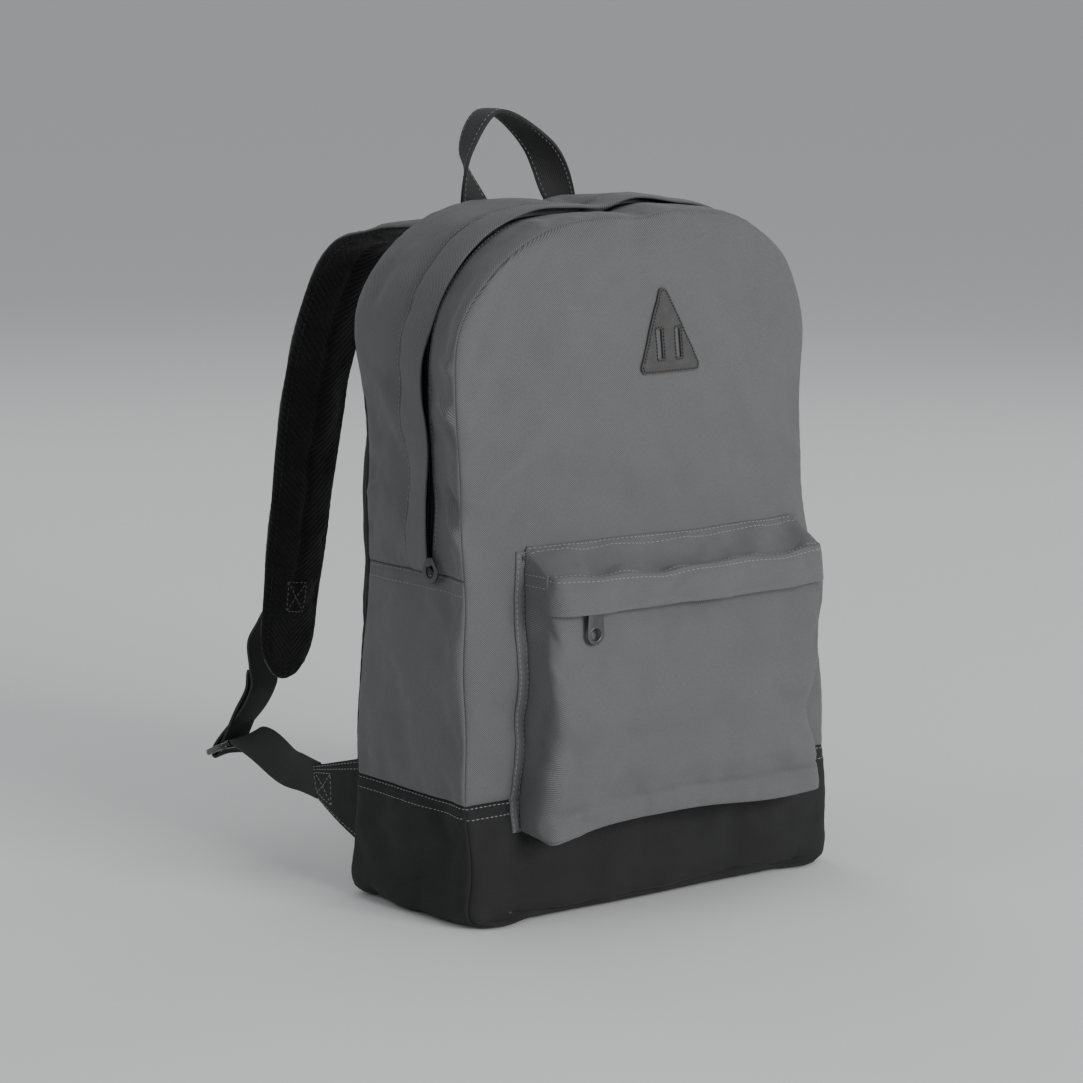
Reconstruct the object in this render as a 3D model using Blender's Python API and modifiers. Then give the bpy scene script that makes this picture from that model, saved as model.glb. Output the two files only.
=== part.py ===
"""Daypack: a soft rucksack with an arched main compartment, a zipped front pocket and two padded straps.

Frame: origin at the middle of the base's underside, +X to the right as seen from the front,
the front faces -Y, the back with its straps faces +Y, and +Z is up. Units are metres.
Every fabric piece is a closed solid as thick as the cloth with its lining.
"""

import math

import bmesh
import bpy
from mathutils import Matrix, Vector

# Main body
HALF_WIDTH = 0.142
TOP_Z = 0.428
TOP_RADIUS = 0.088
FOOT_RADIUS = 0.017
FRONT_Y = -0.0575
BACK_Y = 0.058
CLOTH = 0.002
GAP = 0.0003
BASE_SEAM_Z = 0.078
SIDE_SEAM_Z = 0.216
FOLD_Z = 0.238
ARC_STEPS = 10

# Main zip, from front to back across the arched side wall
GUSSET_EDGE_Y = -0.0200
ZIP_MIDDLE_Y = -0.0150
ZIP_BACK_Y = -0.0100
ZIP_THICKNESS = 0.0012
FLAP_FRONT_Y = -0.0190
FLAP_BACK_Y = 0.0010
FLAP_LIFT = 0.0010
FLAP_FOOT_Z = 0.240
SLIDER_SIZE = Vector((0.0040, 0.0090, 0.0100))
SLIDER_Z = 0.225
PULL_LENGTH = 0.017
PULL_EYE = 0.0055
PULL_THICKNESS = 0.0016

# Patch on the front
PATCH_BASE = 0.050
PATCH_HEIGHT = 0.052
PATCH_Z = 0.334
PATCH_THICKNESS = 0.0014
PATCH_LEAN = -0.003
SLOT_SIZE = (0.007, 0.021)
SLOT_SPREAD = 0.0095

# Front pocket
POCKET_HALF = 0.106
POCKET_FLOOR = 0.058
POCKET_FRONT_Y = -0.094
POCKET_BACK_Z = 0.235
POCKET_CREASE_Z = 0.221
POCKET_MOUTH_Z = 0.2003
POCKET_ZIP_HALF = 0.0985
POCKET_ZIP_Z = 0.2063
POCKET_ZIP_TOP_Z = 0.2180
POCKET_CORNER = 0.008
LID_EDGE_Z = 0.1965
LID_HINGE_Z = 0.2195
LID_REAR_Y = -0.0983
POCKET_SLIDER_X = -0.078
POCKET_PULL_Y = -0.0974

# Grab handle: its centre line in the upright plane at HANDLE_Y
HANDLE_Y = 0.0620
HANDLE_WIDTH = 0.023
HANDLE_THICKNESS = 0.0022
HANDLE_LINE = ((-0.047, 0.4308), (-0.054, 0.464), (-0.034, 0.4905), (0.004, 0.467), (0.022, 0.4308))
HANDLE_HINGE = Vector((0.0, 0.0620, 0.4305))

# Shoulder straps: the left one's centre line, from its root down to its tip
STRAP_LINE = (
    Vector((-0.050, 0.0620, 0.4180)),
    Vector((-0.056, 0.1150, 0.4150)),
    Vector((-0.072, 0.1580, 0.3940)),
    Vector((-0.085, 0.1800, 0.3270)),
    Vector((-0.098, 0.1880, 0.2220)),
    Vector((-0.113, 0.1860, 0.1240)),
)
STRAP_WIDTH = 0.054
STRAP_FOAM = 0.0070
STRAP_SKIN = 0.0012
STRAP_TURN = math.radians(20)
STRAP_TIP = 0.40
STRAP_HINGE = Vector((-0.050, 0.0660, 0.4180))

# Webbing, ladder-lock buckles and wings
WEB_WIDTH = 0.025
WEB_THICKNESS = 0.0018
UPPER_WEB_LINE = (
    Vector((-0.107, 0.1985, 0.1560)),
    Vector((-0.113, 0.2010, 0.1240)),
    Vector((-0.122, 0.2110, 0.0950)),
    Vector((-0.130, 0.2290, 0.0690)),
)
LOWER_WEB_LINE = (
    Vector((-0.1363, 0.1195, 0.0640)),
    Vector((-0.1370, 0.1480, 0.0680)),
    Vector((-0.1340, 0.1780, 0.0760)),
    Vector((-0.1310, 0.2050, 0.0765)),
)
LOCK_CENTRE = Vector((-0.1300, 0.2190, 0.0665))
LOCK_SIZE = (0.036, 0.024)
LOCK_THICKNESS = 0.0045
LOCK_SLOT = (0.0265, 0.0050)
LOCK_TILT = math.radians(-22)
WING_X = -0.1363
WING_THICKNESS = 0.0025
WING_CORNERS = ((0.0590, 0.0300), (0.1120, 0.0520), (0.1180, 0.0700), (0.0590, 0.0880))

# Back
FOAM_THICKNESS = 0.005
FOAM_INSET = 0.014
YOKE_HALF = 0.100
YOKE_LOW_Z = 0.374
YOKE_HIGH_Z = 0.4100
YOKE_THICKNESS = 0.0015


def clear_scene():
    """Removes every object that the file opened with."""
    for obj in list(bpy.data.objects):
        bpy.data.objects.remove(obj)


def new_collection(name):
    made = bpy.data.collections.new(name)
    bpy.context.scene.collection.children.link(made)
    return made


def add_material(obj, colour, roughness, metallic=0.0):
    """Gives obj its own Principled material."""
    made = bpy.data.materials.new(obj.name + "_material")
    made.use_nodes = True
    shader = made.node_tree.nodes["Principled BSDF"]
    shader.inputs["Base Color"].default_value = (*colour, 1.0)
    shader.inputs["Roughness"].default_value = roughness
    shader.inputs["Metallic"].default_value = metallic
    obj.data.materials.append(made)


GREY_TWILL = ((0.145, 0.147, 0.153), 0.85)
BLACK_TWILL = ((0.017, 0.017, 0.018), 0.85)
BLACK_MESH = ((0.010, 0.010, 0.011), 0.90)
FOAM = ((0.030, 0.030, 0.032), 0.95)
SUEDE = ((0.075, 0.072, 0.070), 0.95)
ZIP_TAPE = ((0.012, 0.012, 0.012), 0.70)
PAINTED_METAL = ((0.020, 0.020, 0.021), 0.45, 0.6)
GLOSSY_PLASTIC = ((0.008, 0.008, 0.008), 0.15)


def register(obj, node, finish):
    """Names obj, puts it in the daypack's collection and gives it its finish."""
    obj.name = node
    obj.data.name = node
    for group in list(obj.users_collection):
        group.objects.unlink(obj)
    PARTS.objects.link(obj)
    add_material(obj, *finish)
    return obj


def hang_on_axis(name, point, pieces):
    """Parents pieces to an empty on their joint's axis, without moving them."""
    axis = bpy.data.objects.new(name, None)
    axis.location = point
    PARTS.objects.link(axis)
    bpy.context.view_layer.update()
    for piece in pieces:
        piece.parent = axis
        piece.matrix_parent_inverse = axis.matrix_world.inverted()


# Flat pieces are outlines with a thickness. Each plane says how the outline's two coordinates and
# the thickness lie in space.
PLANES = {
    "front": Matrix(((1, 0, 0), (0, 0, -1), (0, 1, 0))),
    "side": Matrix(((0, 0, 1), (1, 0, 0), (0, 1, 0))),
    "floor": Matrix(((1, 0, 0), (0, 1, 0), (0, 0, 1))),
}
NORMALS = {"front": Vector((0, 1, 0)), "side": Vector((1, 0, 0)), "floor": Vector((0, 0, 1))}


def plate(node, plane, outline, near, far, finish, holes=()):
    """A flat piece with the given outline, lying between near and far along the plane's normal."""
    data = bpy.data.curves.new(node, "CURVE")
    data.dimensions = "2D"
    data.fill_mode = "BOTH"
    data.extrude = abs(far - near) / 2
    for loop in (outline, *holes):
        spline = data.splines.new("POLY")
        spline.points.add(len(loop) - 1)
        for point, (a, b) in zip(spline.points, loop):
            point.co = (a, b, 0, 1)
        spline.use_cyclic_u = True
    guide = bpy.data.objects.new(node, data)
    guide.matrix_world = PLANES[plane].to_4x4()
    guide.matrix_world.translation = NORMALS[plane] * (near + far) / 2
    PARTS.objects.link(guide)
    return register(welded_mesh(guide), node, finish)


def welded_mesh(guide):
    """Turns a curve object into a mesh object whose caps are joined to its walls."""
    bpy.context.view_layer.update()
    evaluated = guide.evaluated_get(bpy.context.evaluated_depsgraph_get())
    mesh = bpy.data.meshes.new_from_object(evaluated)
    work = bmesh.new()
    work.from_mesh(mesh)
    bmesh.ops.remove_doubles(work, verts=work.verts, dist=0.00001)
    bmesh.ops.recalc_face_normals(work, faces=work.faces)
    work.to_mesh(mesh)
    work.free()
    made = bpy.data.objects.new(guide.name + "_mesh", mesh)
    made.matrix_world = guide.matrix_world
    PARTS.objects.link(made)
    curve = guide.data
    bpy.data.objects.remove(guide)
    bpy.data.curves.remove(curve)
    return made


def arc(centre, radius, start, end, steps=ARC_STEPS):
    """Points along an arc, angles in degrees, both ends included."""
    points = []
    for i in range(steps + 1):
        angle = math.radians(start + (end - start) * i / steps)
        points.append((centre[0] + radius * math.cos(angle), centre[1] + radius * math.sin(angle)))
    return points


def arch(inset, foot_z):
    """The bag's arched outline, set in by inset, from the left foot over the top to the right foot."""
    across = HALF_WIDTH - TOP_RADIUS
    up = TOP_Z - TOP_RADIUS
    radius = TOP_RADIUS - inset
    left = HALF_WIDTH - inset
    line = [(-left, foot_z)]
    line += arc((-across, up), radius, 180, 90)
    line += arc((across, up), radius, 90, 0)
    line += [(left, foot_z)]
    return line


def arch_band(node, y_front, y_back, foot_z, finish, inset=0.0, thickness=CLOTH):
    """A strip of fabric that runs up one side, over the top and down the other."""
    outline = arch(inset, foot_z) + arch(inset + thickness, foot_z)[::-1]
    return plate(node, "front", outline, y_front, y_back, finish)


def rounded_foot(half, radius, floor_z):
    """Right bottom corner then left bottom corner of a panel, for closing an outline clockwise."""
    right = arc((half - radius, floor_z + radius), radius, 0, -90, ARC_STEPS // 2)
    left = arc((-half + radius, floor_z + radius), radius, -90, -180, ARC_STEPS // 2)
    return right + left


def rectangle(x0, y0, x1, y1):
    return [(x0, y0), (x1, y0), (x1, y1), (x0, y1)]


def rounded_rectangle(cx, cy, width, height, radius, steps=4):
    """A rectangle with round corners, its centre at cx, cy."""
    points = []
    for sx, sy, start in ((1, -1, -90), (1, 1, 0), (-1, 1, 90), (-1, -1, 180)):
        centre = (cx + sx * (width / 2 - radius), cy + sy * (height / 2 - radius))
        points += arc(centre, radius, start, start + 90, steps)
    return points


def box(node, centre, size, bevel, finish):
    """A small block with rounded edges."""
    mesh = bpy.data.meshes.new(node)
    work = bmesh.new()
    bmesh.ops.create_cube(work, size=1.0)
    bmesh.ops.scale(work, vec=size, verts=work.verts)
    work.to_mesh(mesh)
    work.free()
    made = bpy.data.objects.new(node, mesh)
    made.location = centre
    PARTS.objects.link(made)
    register(made, node, finish)
    rounding = made.modifiers.new("rounding", "BEVEL")
    rounding.width = bevel
    rounding.segments = 2
    return made


def smooth_line(points, t):
    """The point at t, from 0 to 1, on a smooth line through the given points (Catmull-Rom)."""
    spans = len(points) - 1
    place = min(max(t, 0.0), 1.0) * spans
    k = min(int(place), spans - 1)
    u = place - k
    p1 = points[k]
    p2 = points[k + 1]
    p0 = points[k - 1] if k > 0 else p1 * 2 - p2
    p3 = points[k + 2] if k + 2 <= spans else p2 * 2 - p1
    straight = p1 * 2 + (p2 - p0) * u
    square = (p0 * 2 - p1 * 5 + p2 * 4 - p3) * u * u
    cube = (p1 * 3 - p0 - p2 * 3 + p3) * u * u * u
    return (straight + square + cube) / 2


def tangent(points, t):
    step = 0.001
    return (smooth_line(points, t + step) - smooth_line(points, t - step)).normalized()


def ribbon(node, points, across, width, thickness, steps, finish, lift=0.0):
    """A flat band along a smooth line. across(t, direction) is the unit vector over its width,
    width(t) is how wide it is, and lift moves it off the line along its own normal."""
    mesh = bpy.data.meshes.new(node)
    work = bmesh.new()
    bmesh.ops.create_grid(work, x_segments=steps, y_segments=2, size=0.5)
    for vert in work.verts:
        t = vert.co.x + 0.5
        side = vert.co.y
        direction = tangent(points, t)
        over = across(t, direction)
        normal = direction.cross(over).normalized()
        vert.co = smooth_line(points, t) + over * (side * width(t)) + normal * lift
    work.to_mesh(mesh)
    work.free()
    made = bpy.data.objects.new(node, mesh)
    PARTS.objects.link(made)
    register(made, node, finish)
    solid = made.modifiers.new("cloth", "SOLIDIFY")
    solid.thickness = thickness
    solid.offset = 0.0
    solid.use_even_offset = True
    return made


def cut(obj, cutter):
    """Removes cutter's volume from obj."""
    knife = obj.modifiers.new("cut", "BOOLEAN")
    knife.operation = "DIFFERENCE"
    knife.solver = "EXACT"
    knife.object = cutter


def build_front():
    """Front panel in two pieces, with the patch on the upper one."""
    front = FRONT_Y
    back = FRONT_Y + CLOTH
    plate("front_panel_upper", "front", arch(GAP, FOLD_Z + GAP), front, back, GREY_TWILL)
    lower = rectangle(-HALF_WIDTH + GAP, BASE_SEAM_Z + GAP, HALF_WIDTH - GAP, FOLD_Z - GAP)
    plate("front_panel_lower", "front", lower, front, back, GREY_TWILL)
    base = [(-HALF_WIDTH, BASE_SEAM_Z - GAP), (HALF_WIDTH, BASE_SEAM_Z - GAP)]
    base += rounded_foot(HALF_WIDTH, FOOT_RADIUS, 0.0)
    plate("base_front", "front", base, front, back, BLACK_TWILL)
    build_patch()


def build_patch():
    """A triangle with round corners and two upright slots."""
    corner = 0.004
    base_low = PATCH_Z + corner
    half = PATCH_BASE / 2 - corner
    apex = PATCH_Z + PATCH_HEIGHT - corner
    lean = math.degrees(math.atan2(apex - base_low, half))
    outline = arc((-half, base_low), corner, 90 + lean, 270, 4)
    outline += arc((half, base_low), corner, -90, 90 - lean, 4)
    outline += arc((PATCH_LEAN, apex), corner, 90 - lean, 90 + lean, 4)
    slots = []
    for side in (-1, 1):
        middle = PATCH_Z + PATCH_HEIGHT * 0.32
        slots.append(rounded_rectangle(side * SLOT_SPREAD, middle, *SLOT_SIZE, 0.001, 2))
    near = FRONT_Y - GAP - PATCH_THICKNESS
    plate("patch", "front", outline, near, FRONT_Y - GAP, SUEDE, holes=slots)


def build_side_walls():
    """Base sides, bottom, side panels and the arched strips above them."""
    front = FRONT_Y + CLOTH + GAP
    back = BACK_Y - CLOTH - GAP
    seam = BASE_SEAM_Z - GAP
    for name, side in (("left", -1), ("right", 1)):
        outer = [(side * HALF_WIDTH, seam)]
        inner = [(side * (HALF_WIDTH - CLOTH), seam)]
        for steps, line, radius in ((5, outer, FOOT_RADIUS), (5, inner, FOOT_RADIUS - CLOTH)):
            for x, z in arc((FOOT_RADIUS - HALF_WIDTH, FOOT_RADIUS), radius, 180, 270, steps):
                line.append((-side * x, z))
        plate("base_side_" + name, "front", outer + inner[::-1], front, back, BLACK_TWILL)
        panel = [(front, BASE_SEAM_Z + GAP), (back, BASE_SEAM_Z + GAP), (back, SIDE_SEAM_Z - GAP)]
        panel += [(ZIP_MIDDLE_Y - GAP, SIDE_SEAM_Z - GAP), (ZIP_MIDDLE_Y - GAP, FOLD_Z - GAP)]
        panel += [(front, FOLD_Z - GAP)]
        x_in = side * (HALF_WIDTH - CLOTH)
        plate("side_panel_" + name, "side", panel, x_in, side * HALF_WIDTH, GREY_TWILL)
    half = HALF_WIDTH - FOOT_RADIUS - GAP
    plate("bottom_panel", "floor", rectangle(-half, front, half, back), 0.0, CLOTH, BLACK_TWILL)
    foot = SIDE_SEAM_Z + GAP
    arch_band("rear_gusset", ZIP_BACK_Y + GAP, back, foot, GREY_TWILL)
    arch_band("front_gusset", front, GUSSET_EDGE_Y, FOLD_Z + GAP, GREY_TWILL)
    arch_band(
        "main_zip_rear", ZIP_MIDDLE_Y + GAP, ZIP_BACK_Y, foot, ZIP_TAPE, thickness=ZIP_THICKNESS
    )
    front_half = (GUSSET_EDGE_Y + GAP, ZIP_MIDDLE_Y - GAP, FOLD_Z + GAP)
    arch_band("main_zip_front", *front_half, ZIP_TAPE, thickness=ZIP_THICKNESS)
    outside = -FLAP_LIFT - CLOTH
    arch_band("storm_flap", FLAP_FRONT_Y, FLAP_BACK_Y, FLAP_FOOT_Z, GREY_TWILL, inset=outside)


def build_back():
    """Back panel, the foam pad inside it and the yoke over the strap roots."""
    outline = arch(0.0, FOOT_RADIUS)[1:-1] + rounded_foot(HALF_WIDTH, FOOT_RADIUS, 0.0)
    plate("back_panel", "front", outline, BACK_Y - CLOTH, BACK_Y, BLACK_TWILL)
    inside = BACK_Y - CLOTH - GAP
    pad = arch(FOAM_INSET, FOAM_INSET)
    plate("back_foam", "front", pad, inside - FOAM_THICKNESS, inside, FOAM)
    middle = (YOKE_LOW_Z + YOKE_HIGH_Z) / 2
    yoke = rounded_rectangle(0.0, middle, 2 * YOKE_HALF, YOKE_HIGH_Z - YOKE_LOW_Z, 0.010)
    plate("yoke", "front", yoke, BACK_Y + GAP, BACK_Y + GAP + YOKE_THICKNESS, GREY_TWILL)


def build_main_slider():
    """The main zip's slider at the left foot of the arch, with its ring-ended pull in front of it."""
    centre = Vector((-HALF_WIDTH - GAP - SLIDER_SIZE.x / 2, ZIP_MIDDLE_Y, SLIDER_Z))
    slider = box("main_slider", centre, SLIDER_SIZE, 0.0008, PAINTED_METAL)
    eye_y = centre.y - SLIDER_SIZE.y / 2 - GAP - PULL_EYE
    top = SLIDER_Z + 0.002
    low = top - PULL_LENGTH
    bar = 0.0024
    outline = [(eye_y + bar, top), (eye_y - bar, top)]
    outline += arc((eye_y, low), PULL_EYE, 154, 386, 14)
    hole = arc((eye_y, low), PULL_EYE * 0.55, 0, 360, 12)[:-1]
    middle = -HALF_WIDTH - 0.0030
    near = middle - PULL_THICKNESS / 2
    far = middle + PULL_THICKNESS / 2
    pull = plate("main_pull", "side", outline, near, far, PAINTED_METAL, holes=[hole])
    hang_on_axis("main_slider_axis", centre, [slider])
    hang_on_axis("main_pull_axis", Vector((middle, eye_y, top)), [pull])


def build_pocket():
    """The zipped front pocket: front, U-shaped side strip, sloping roof, zip and lid."""
    front = POCKET_FRONT_Y
    back = POCKET_FRONT_Y + CLOTH
    face = [(-POCKET_HALF, POCKET_MOUTH_Z - GAP), (POCKET_HALF, POCKET_MOUTH_Z - GAP)]
    face += rounded_foot(POCKET_HALF, POCKET_CORNER, POCKET_FLOOR)
    plate("pocket_front", "front", face, front, back, GREY_TWILL)

    strip_front = back + GAP
    strip_back = FRONT_Y - GAP
    outer = [(POCKET_HALF, TOP_Z)] + rounded_foot(POCKET_HALF, POCKET_CORNER, POCKET_FLOOR)
    outer += [(-POCKET_HALF, TOP_Z)]
    inner_half = POCKET_HALF - CLOTH
    inner = [(inner_half, TOP_Z)]
    inner += rounded_foot(inner_half, POCKET_CORNER - CLOTH, POCKET_FLOOR + CLOTH)
    inner += [(-inner_half, TOP_Z)]
    strip = plate("pocket_gusset", "front", outer + inner[::-1], strip_front, strip_back, GREY_TWILL)

    eave = LID_REAR_Y + GAP
    slope = (POCKET_BACK_Z - POCKET_CREASE_Z) / (strip_back - eave)
    drop = CLOTH * math.hypot(1.0, slope)
    roof = [(eave, POCKET_CREASE_Z - drop), (strip_back, POCKET_BACK_Z - drop)]
    roof += [(strip_back, POCKET_BACK_Z), (eave, POCKET_CREASE_Z)]
    plate("pocket_roof", "side", roof, -POCKET_HALF, POCKET_HALF, GREY_TWILL)

    reach = 0.010
    under = drop + 2 * GAP
    low_front = POCKET_CREASE_Z - under - slope * reach
    low_back = POCKET_BACK_Z - under + slope * reach
    blade = [(eave - reach, low_front), (strip_back + reach, low_back)]
    blade += [(strip_back + reach, TOP_Z + reach), (eave - reach, TOP_Z + reach)]
    wide = POCKET_HALF + reach
    cutter = plate("pocket_slope_cutter", "side", blade, -wide, wide, FOAM)
    PARTS.objects.unlink(cutter)
    CUTTERS.objects.link(cutter)
    cutter.hide_render = True
    cutter.display_type = "WIRE"
    cut(strip, cutter)

    tape_back = POCKET_FRONT_Y + CLOTH
    tape_front = tape_back - ZIP_THICKNESS
    lower = rectangle(-POCKET_ZIP_HALF, POCKET_MOUTH_Z, POCKET_ZIP_HALF, POCKET_ZIP_Z - GAP)
    plate("pocket_zip_lower", "front", lower, tape_front, tape_back, ZIP_TAPE)
    upper = rectangle(-POCKET_ZIP_HALF, POCKET_ZIP_Z + GAP, POCKET_ZIP_HALF, POCKET_ZIP_TOP_Z)
    plate("pocket_zip_upper", "front", upper, tape_front, tape_back, ZIP_TAPE)

    lid = rectangle(-POCKET_HALF, LID_EDGE_Z, POCKET_HALF, LID_HINGE_Z - GAP)
    lid_piece = plate("pocket_flap", "front", lid, LID_REAR_Y - CLOTH, LID_REAR_Y, GREY_TWILL)
    hang_on_axis("pocket_flap_axis", Vector((0.0, LID_REAR_Y, LID_HINGE_Z)), [lid_piece])
    build_pocket_slider(tape_front)


def build_pocket_slider(tape_front):
    """The pocket's slider with its tongue-shaped pull tab hanging in front of it."""
    depth = 0.0028
    centre = Vector((POCKET_SLIDER_X, tape_front - GAP - depth / 2, POCKET_ZIP_Z))
    slider = box("pocket_slider", centre, Vector((0.010, depth, 0.008)), 0.0006, PAINTED_METAL)
    half = 0.0055
    top = POCKET_ZIP_Z + 0.001
    low = 0.1815
    x = POCKET_SLIDER_X
    outline = [(x + 0.0035, top), (x - 0.0035, top)]
    outline += arc((x, low), half, 180, 360, 10)
    hole = arc((x, low), half * 0.5, 0, 360, 12)[:-1]
    near = POCKET_PULL_Y - 0.0005
    far = POCKET_PULL_Y + 0.0005
    pull = plate("pocket_pull", "front", outline, near, far, PAINTED_METAL, holes=[hole])
    hang_on_axis("pocket_slider_axis", centre, [slider])
    hang_on_axis("pocket_pull_axis", Vector((x, POCKET_PULL_Y, POCKET_ZIP_Z)), [pull])


def handle_across(t, direction):
    """Across the bag at both sewn ends, and front to back at the top of the loop."""
    turn = math.pi / 2 * math.sin(math.pi * t)
    flat = Vector((math.cos(math.pi * t), 0.0, -direction.x * math.sin(math.pi * t)))
    return (flat * math.cos(turn) + Vector((0.0, 1.0, 0.0)) * math.sin(turn)).normalized()


def build_handle():
    """The grab handle, a band that twists as it loops over."""
    line = [Vector((x, HANDLE_Y, z)) for x, z in HANDLE_LINE]
    band = ribbon(
        "grab_handle",
        line,
        handle_across,
        lambda t: HANDLE_WIDTH,
        HANDLE_THICKNESS,
        28,
        BLACK_TWILL,
    )
    hang_on_axis("handle_axis", HANDLE_HINGE, [band])


def mirrored(points, side):
    """The left side's points, or the right side's when side is 1."""
    return [Vector((-side * p.x, p.y, p.z)) for p in points]


def strap_width(scale):
    """A strap's width along its length: even, then narrowing to a round tip."""

    def width(t):
        last = max(0.0, (t - 0.92) / 0.08)
        return STRAP_WIDTH * scale * (1 - STRAP_TIP * last * last)

    return width


def build_strap(name, side):
    """One shoulder strap: a foam pad between an outer cover and a spacer mesh, and its webbing."""

    def across(t, direction):
        turn = STRAP_TURN * t * t
        level = Vector((math.cos(turn), -side * math.sin(turn), 0.0))
        return (level - direction * level.dot(direction)).normalized()

    def twisting(t, direction):
        turn = math.pi / 2 * t
        upright = Vector((0.0, 0.0, 1.0))
        level = Vector((1.0, 0.0, 0.0))
        mixed = upright * math.cos(turn) + level * (-side * math.sin(turn))
        return (mixed - direction * mixed.dot(direction)).normalized()

    line = mirrored(STRAP_LINE, side)
    skin = (STRAP_FOAM + STRAP_SKIN) / 2 + GAP
    layers = (
        ("strap_foam_", 0.0, STRAP_FOAM, 0.94, FOAM),
        ("strap_cover_", -skin, STRAP_SKIN, 1.0, GREY_TWILL),
        ("strap_mesh_", skin, STRAP_SKIN, 1.0, BLACK_MESH),
    )
    pieces = []
    for prefix, lift, thickness, scale, finish in layers:
        width = strap_width(scale)
        pieces.append(ribbon(prefix + name, line, across, width, thickness, 30, finish, lift))
    upper = mirrored(UPPER_WEB_LINE, side)
    even = lambda t: WEB_WIDTH
    web = ribbon("strap_web_" + name, upper, across, even, WEB_THICKNESS, 12, BLACK_TWILL)
    pieces.append(web)
    lower = mirrored(LOWER_WEB_LINE, side)
    ribbon("lower_web_" + name, lower, twisting, even, WEB_THICKNESS, 16, BLACK_TWILL)
    hang_on_axis("strap_axis_" + name, mirrored([STRAP_HINGE], side)[0], pieces)


def build_lock(name, side):
    """A ladder-lock buckle: a flat frame with two slots, lying across the webbing."""
    width, length = LOCK_SIZE
    slots = []
    for end in (-1, 1):
        slots.append(rounded_rectangle(0.0, end * length * 0.22, *LOCK_SLOT, 0.0012, 2))
    outline = rounded_rectangle(0.0, 0.0, width, length, 0.004)
    half = LOCK_THICKNESS / 2
    lock = plate("ladder_lock_" + name, "floor", outline, -half, half, GLOSSY_PLASTIC, holes=slots)
    lock.rotation_euler = (LOCK_TILT, 0.0, 0.0)
    lock.location = mirrored([LOCK_CENTRE], side)[0]


def build_wing(name, side):
    """The triangle of cloth that carries the lower webbing, sewn into the side of the back."""
    near = -side * (WING_X - WING_THICKNESS / 2)
    far = -side * (WING_X + WING_THICKNESS / 2)
    plate("wing_" + name, "side", WING_CORNERS, near, far, BLACK_TWILL)


clear_scene()
PARTS = new_collection("daypack")
CUTTERS = new_collection("cutters")
build_front()
build_side_walls()
build_back()
build_main_slider()
build_pocket()
build_handle()
mouth = [PARTS.objects[n] for n in ("front_panel_upper", "front_gusset", "main_zip_front", "patch")]
hang_on_axis("mouth_axis", Vector((0.0, FRONT_Y, FOLD_Z)), mouth)
for side_name, side_sign in (("left", -1), ("right", 1)):
    build_strap(side_name, side_sign)
    build_lock(side_name, side_sign)
    build_wing(side_name, side_sign)
bpy.context.view_layer.update()
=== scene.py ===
"""Looks of the daypack: sewn sheets of cloth, webbing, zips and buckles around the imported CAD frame.

Each fabric piece is a sheet between four seam lines. A cloth simulation eases every sheet inside its
seams, then seams, folds and stitches are added on a finer grid of the same sheet.
"""

import bmesh
import bpy
import math
import numpy as np
from mathutils import Matrix, Vector


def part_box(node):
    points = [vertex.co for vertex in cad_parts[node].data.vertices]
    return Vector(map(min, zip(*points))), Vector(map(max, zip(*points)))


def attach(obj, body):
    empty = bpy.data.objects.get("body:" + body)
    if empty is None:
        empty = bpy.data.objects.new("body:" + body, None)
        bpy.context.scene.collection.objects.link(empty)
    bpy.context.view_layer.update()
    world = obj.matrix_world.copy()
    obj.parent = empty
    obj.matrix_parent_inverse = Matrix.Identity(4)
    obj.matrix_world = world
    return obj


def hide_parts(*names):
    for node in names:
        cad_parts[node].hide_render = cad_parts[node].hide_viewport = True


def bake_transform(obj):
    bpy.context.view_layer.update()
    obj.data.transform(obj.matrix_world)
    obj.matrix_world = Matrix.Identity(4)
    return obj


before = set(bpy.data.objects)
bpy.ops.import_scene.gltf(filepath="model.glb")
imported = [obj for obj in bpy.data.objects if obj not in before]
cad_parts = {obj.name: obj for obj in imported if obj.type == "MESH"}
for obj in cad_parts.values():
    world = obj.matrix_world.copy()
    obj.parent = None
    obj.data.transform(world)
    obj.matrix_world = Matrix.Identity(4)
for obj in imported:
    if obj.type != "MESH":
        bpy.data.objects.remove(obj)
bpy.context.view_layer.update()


def box(node):
    return [np.array(corner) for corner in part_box(node)]


# ---- Sizes, in metres: places come from the CAD frame ----
HALF, BACK_Y, TOP = box("back_panel")[1]
FRONT_Y = box("front_panel_upper")[0][1]
BASE_SEAM = (box("base_front")[1][2] + box("front_panel_lower")[0][2]) / 2
SIDE_SEAM = box("rear_gusset")[0][2]
FOLD_Z = (box("front_panel_lower")[1][2] + box("front_panel_upper")[0][2]) / 2
GUSSET_EDGE = box("front_gusset")[1][1]
ZIP_MIDDLE = (box("main_zip_front")[1][1] + box("main_zip_rear")[0][1]) / 2
ZIP_BACK = box("main_zip_rear")[1][1]
FLAP_FRONT, FLAP_BACK = [corner[1] for corner in box("storm_flap")]
POCKET_HALF, POCKET_ROOT, POCKET_TOP_SEAM = box("pocket_gusset")[1]
POCKET_FLOOR = box("pocket_gusset")[0][2]
POCKET_FACE = box("pocket_front")[0][1]
POCKET_ZIP_Z = (box("pocket_zip_lower")[1][2] + box("pocket_zip_upper")[0][2]) / 2
POCKET_MOUTH = box("pocket_front")[1][2]
POCKET_TOP = box("pocket_roof")[1][2]
POCKET_EAVE = box("pocket_roof")[0][1]
LID_FOOT, LID_TOP = [corner[2] for corner in box("pocket_flap")]
TOP_RADIUS = 0.088
FOOT_RADIUS = 0.017
BEND_SPAN = 0.062
STRAP_WIDTH = 0.054
MESH_RIDGE = 0.0050
CLOTH = 0.0013
SIDES = (("left", -1), ("right", 1))


# ---- Small mathematics ----
TINY = 1e-12


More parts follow.
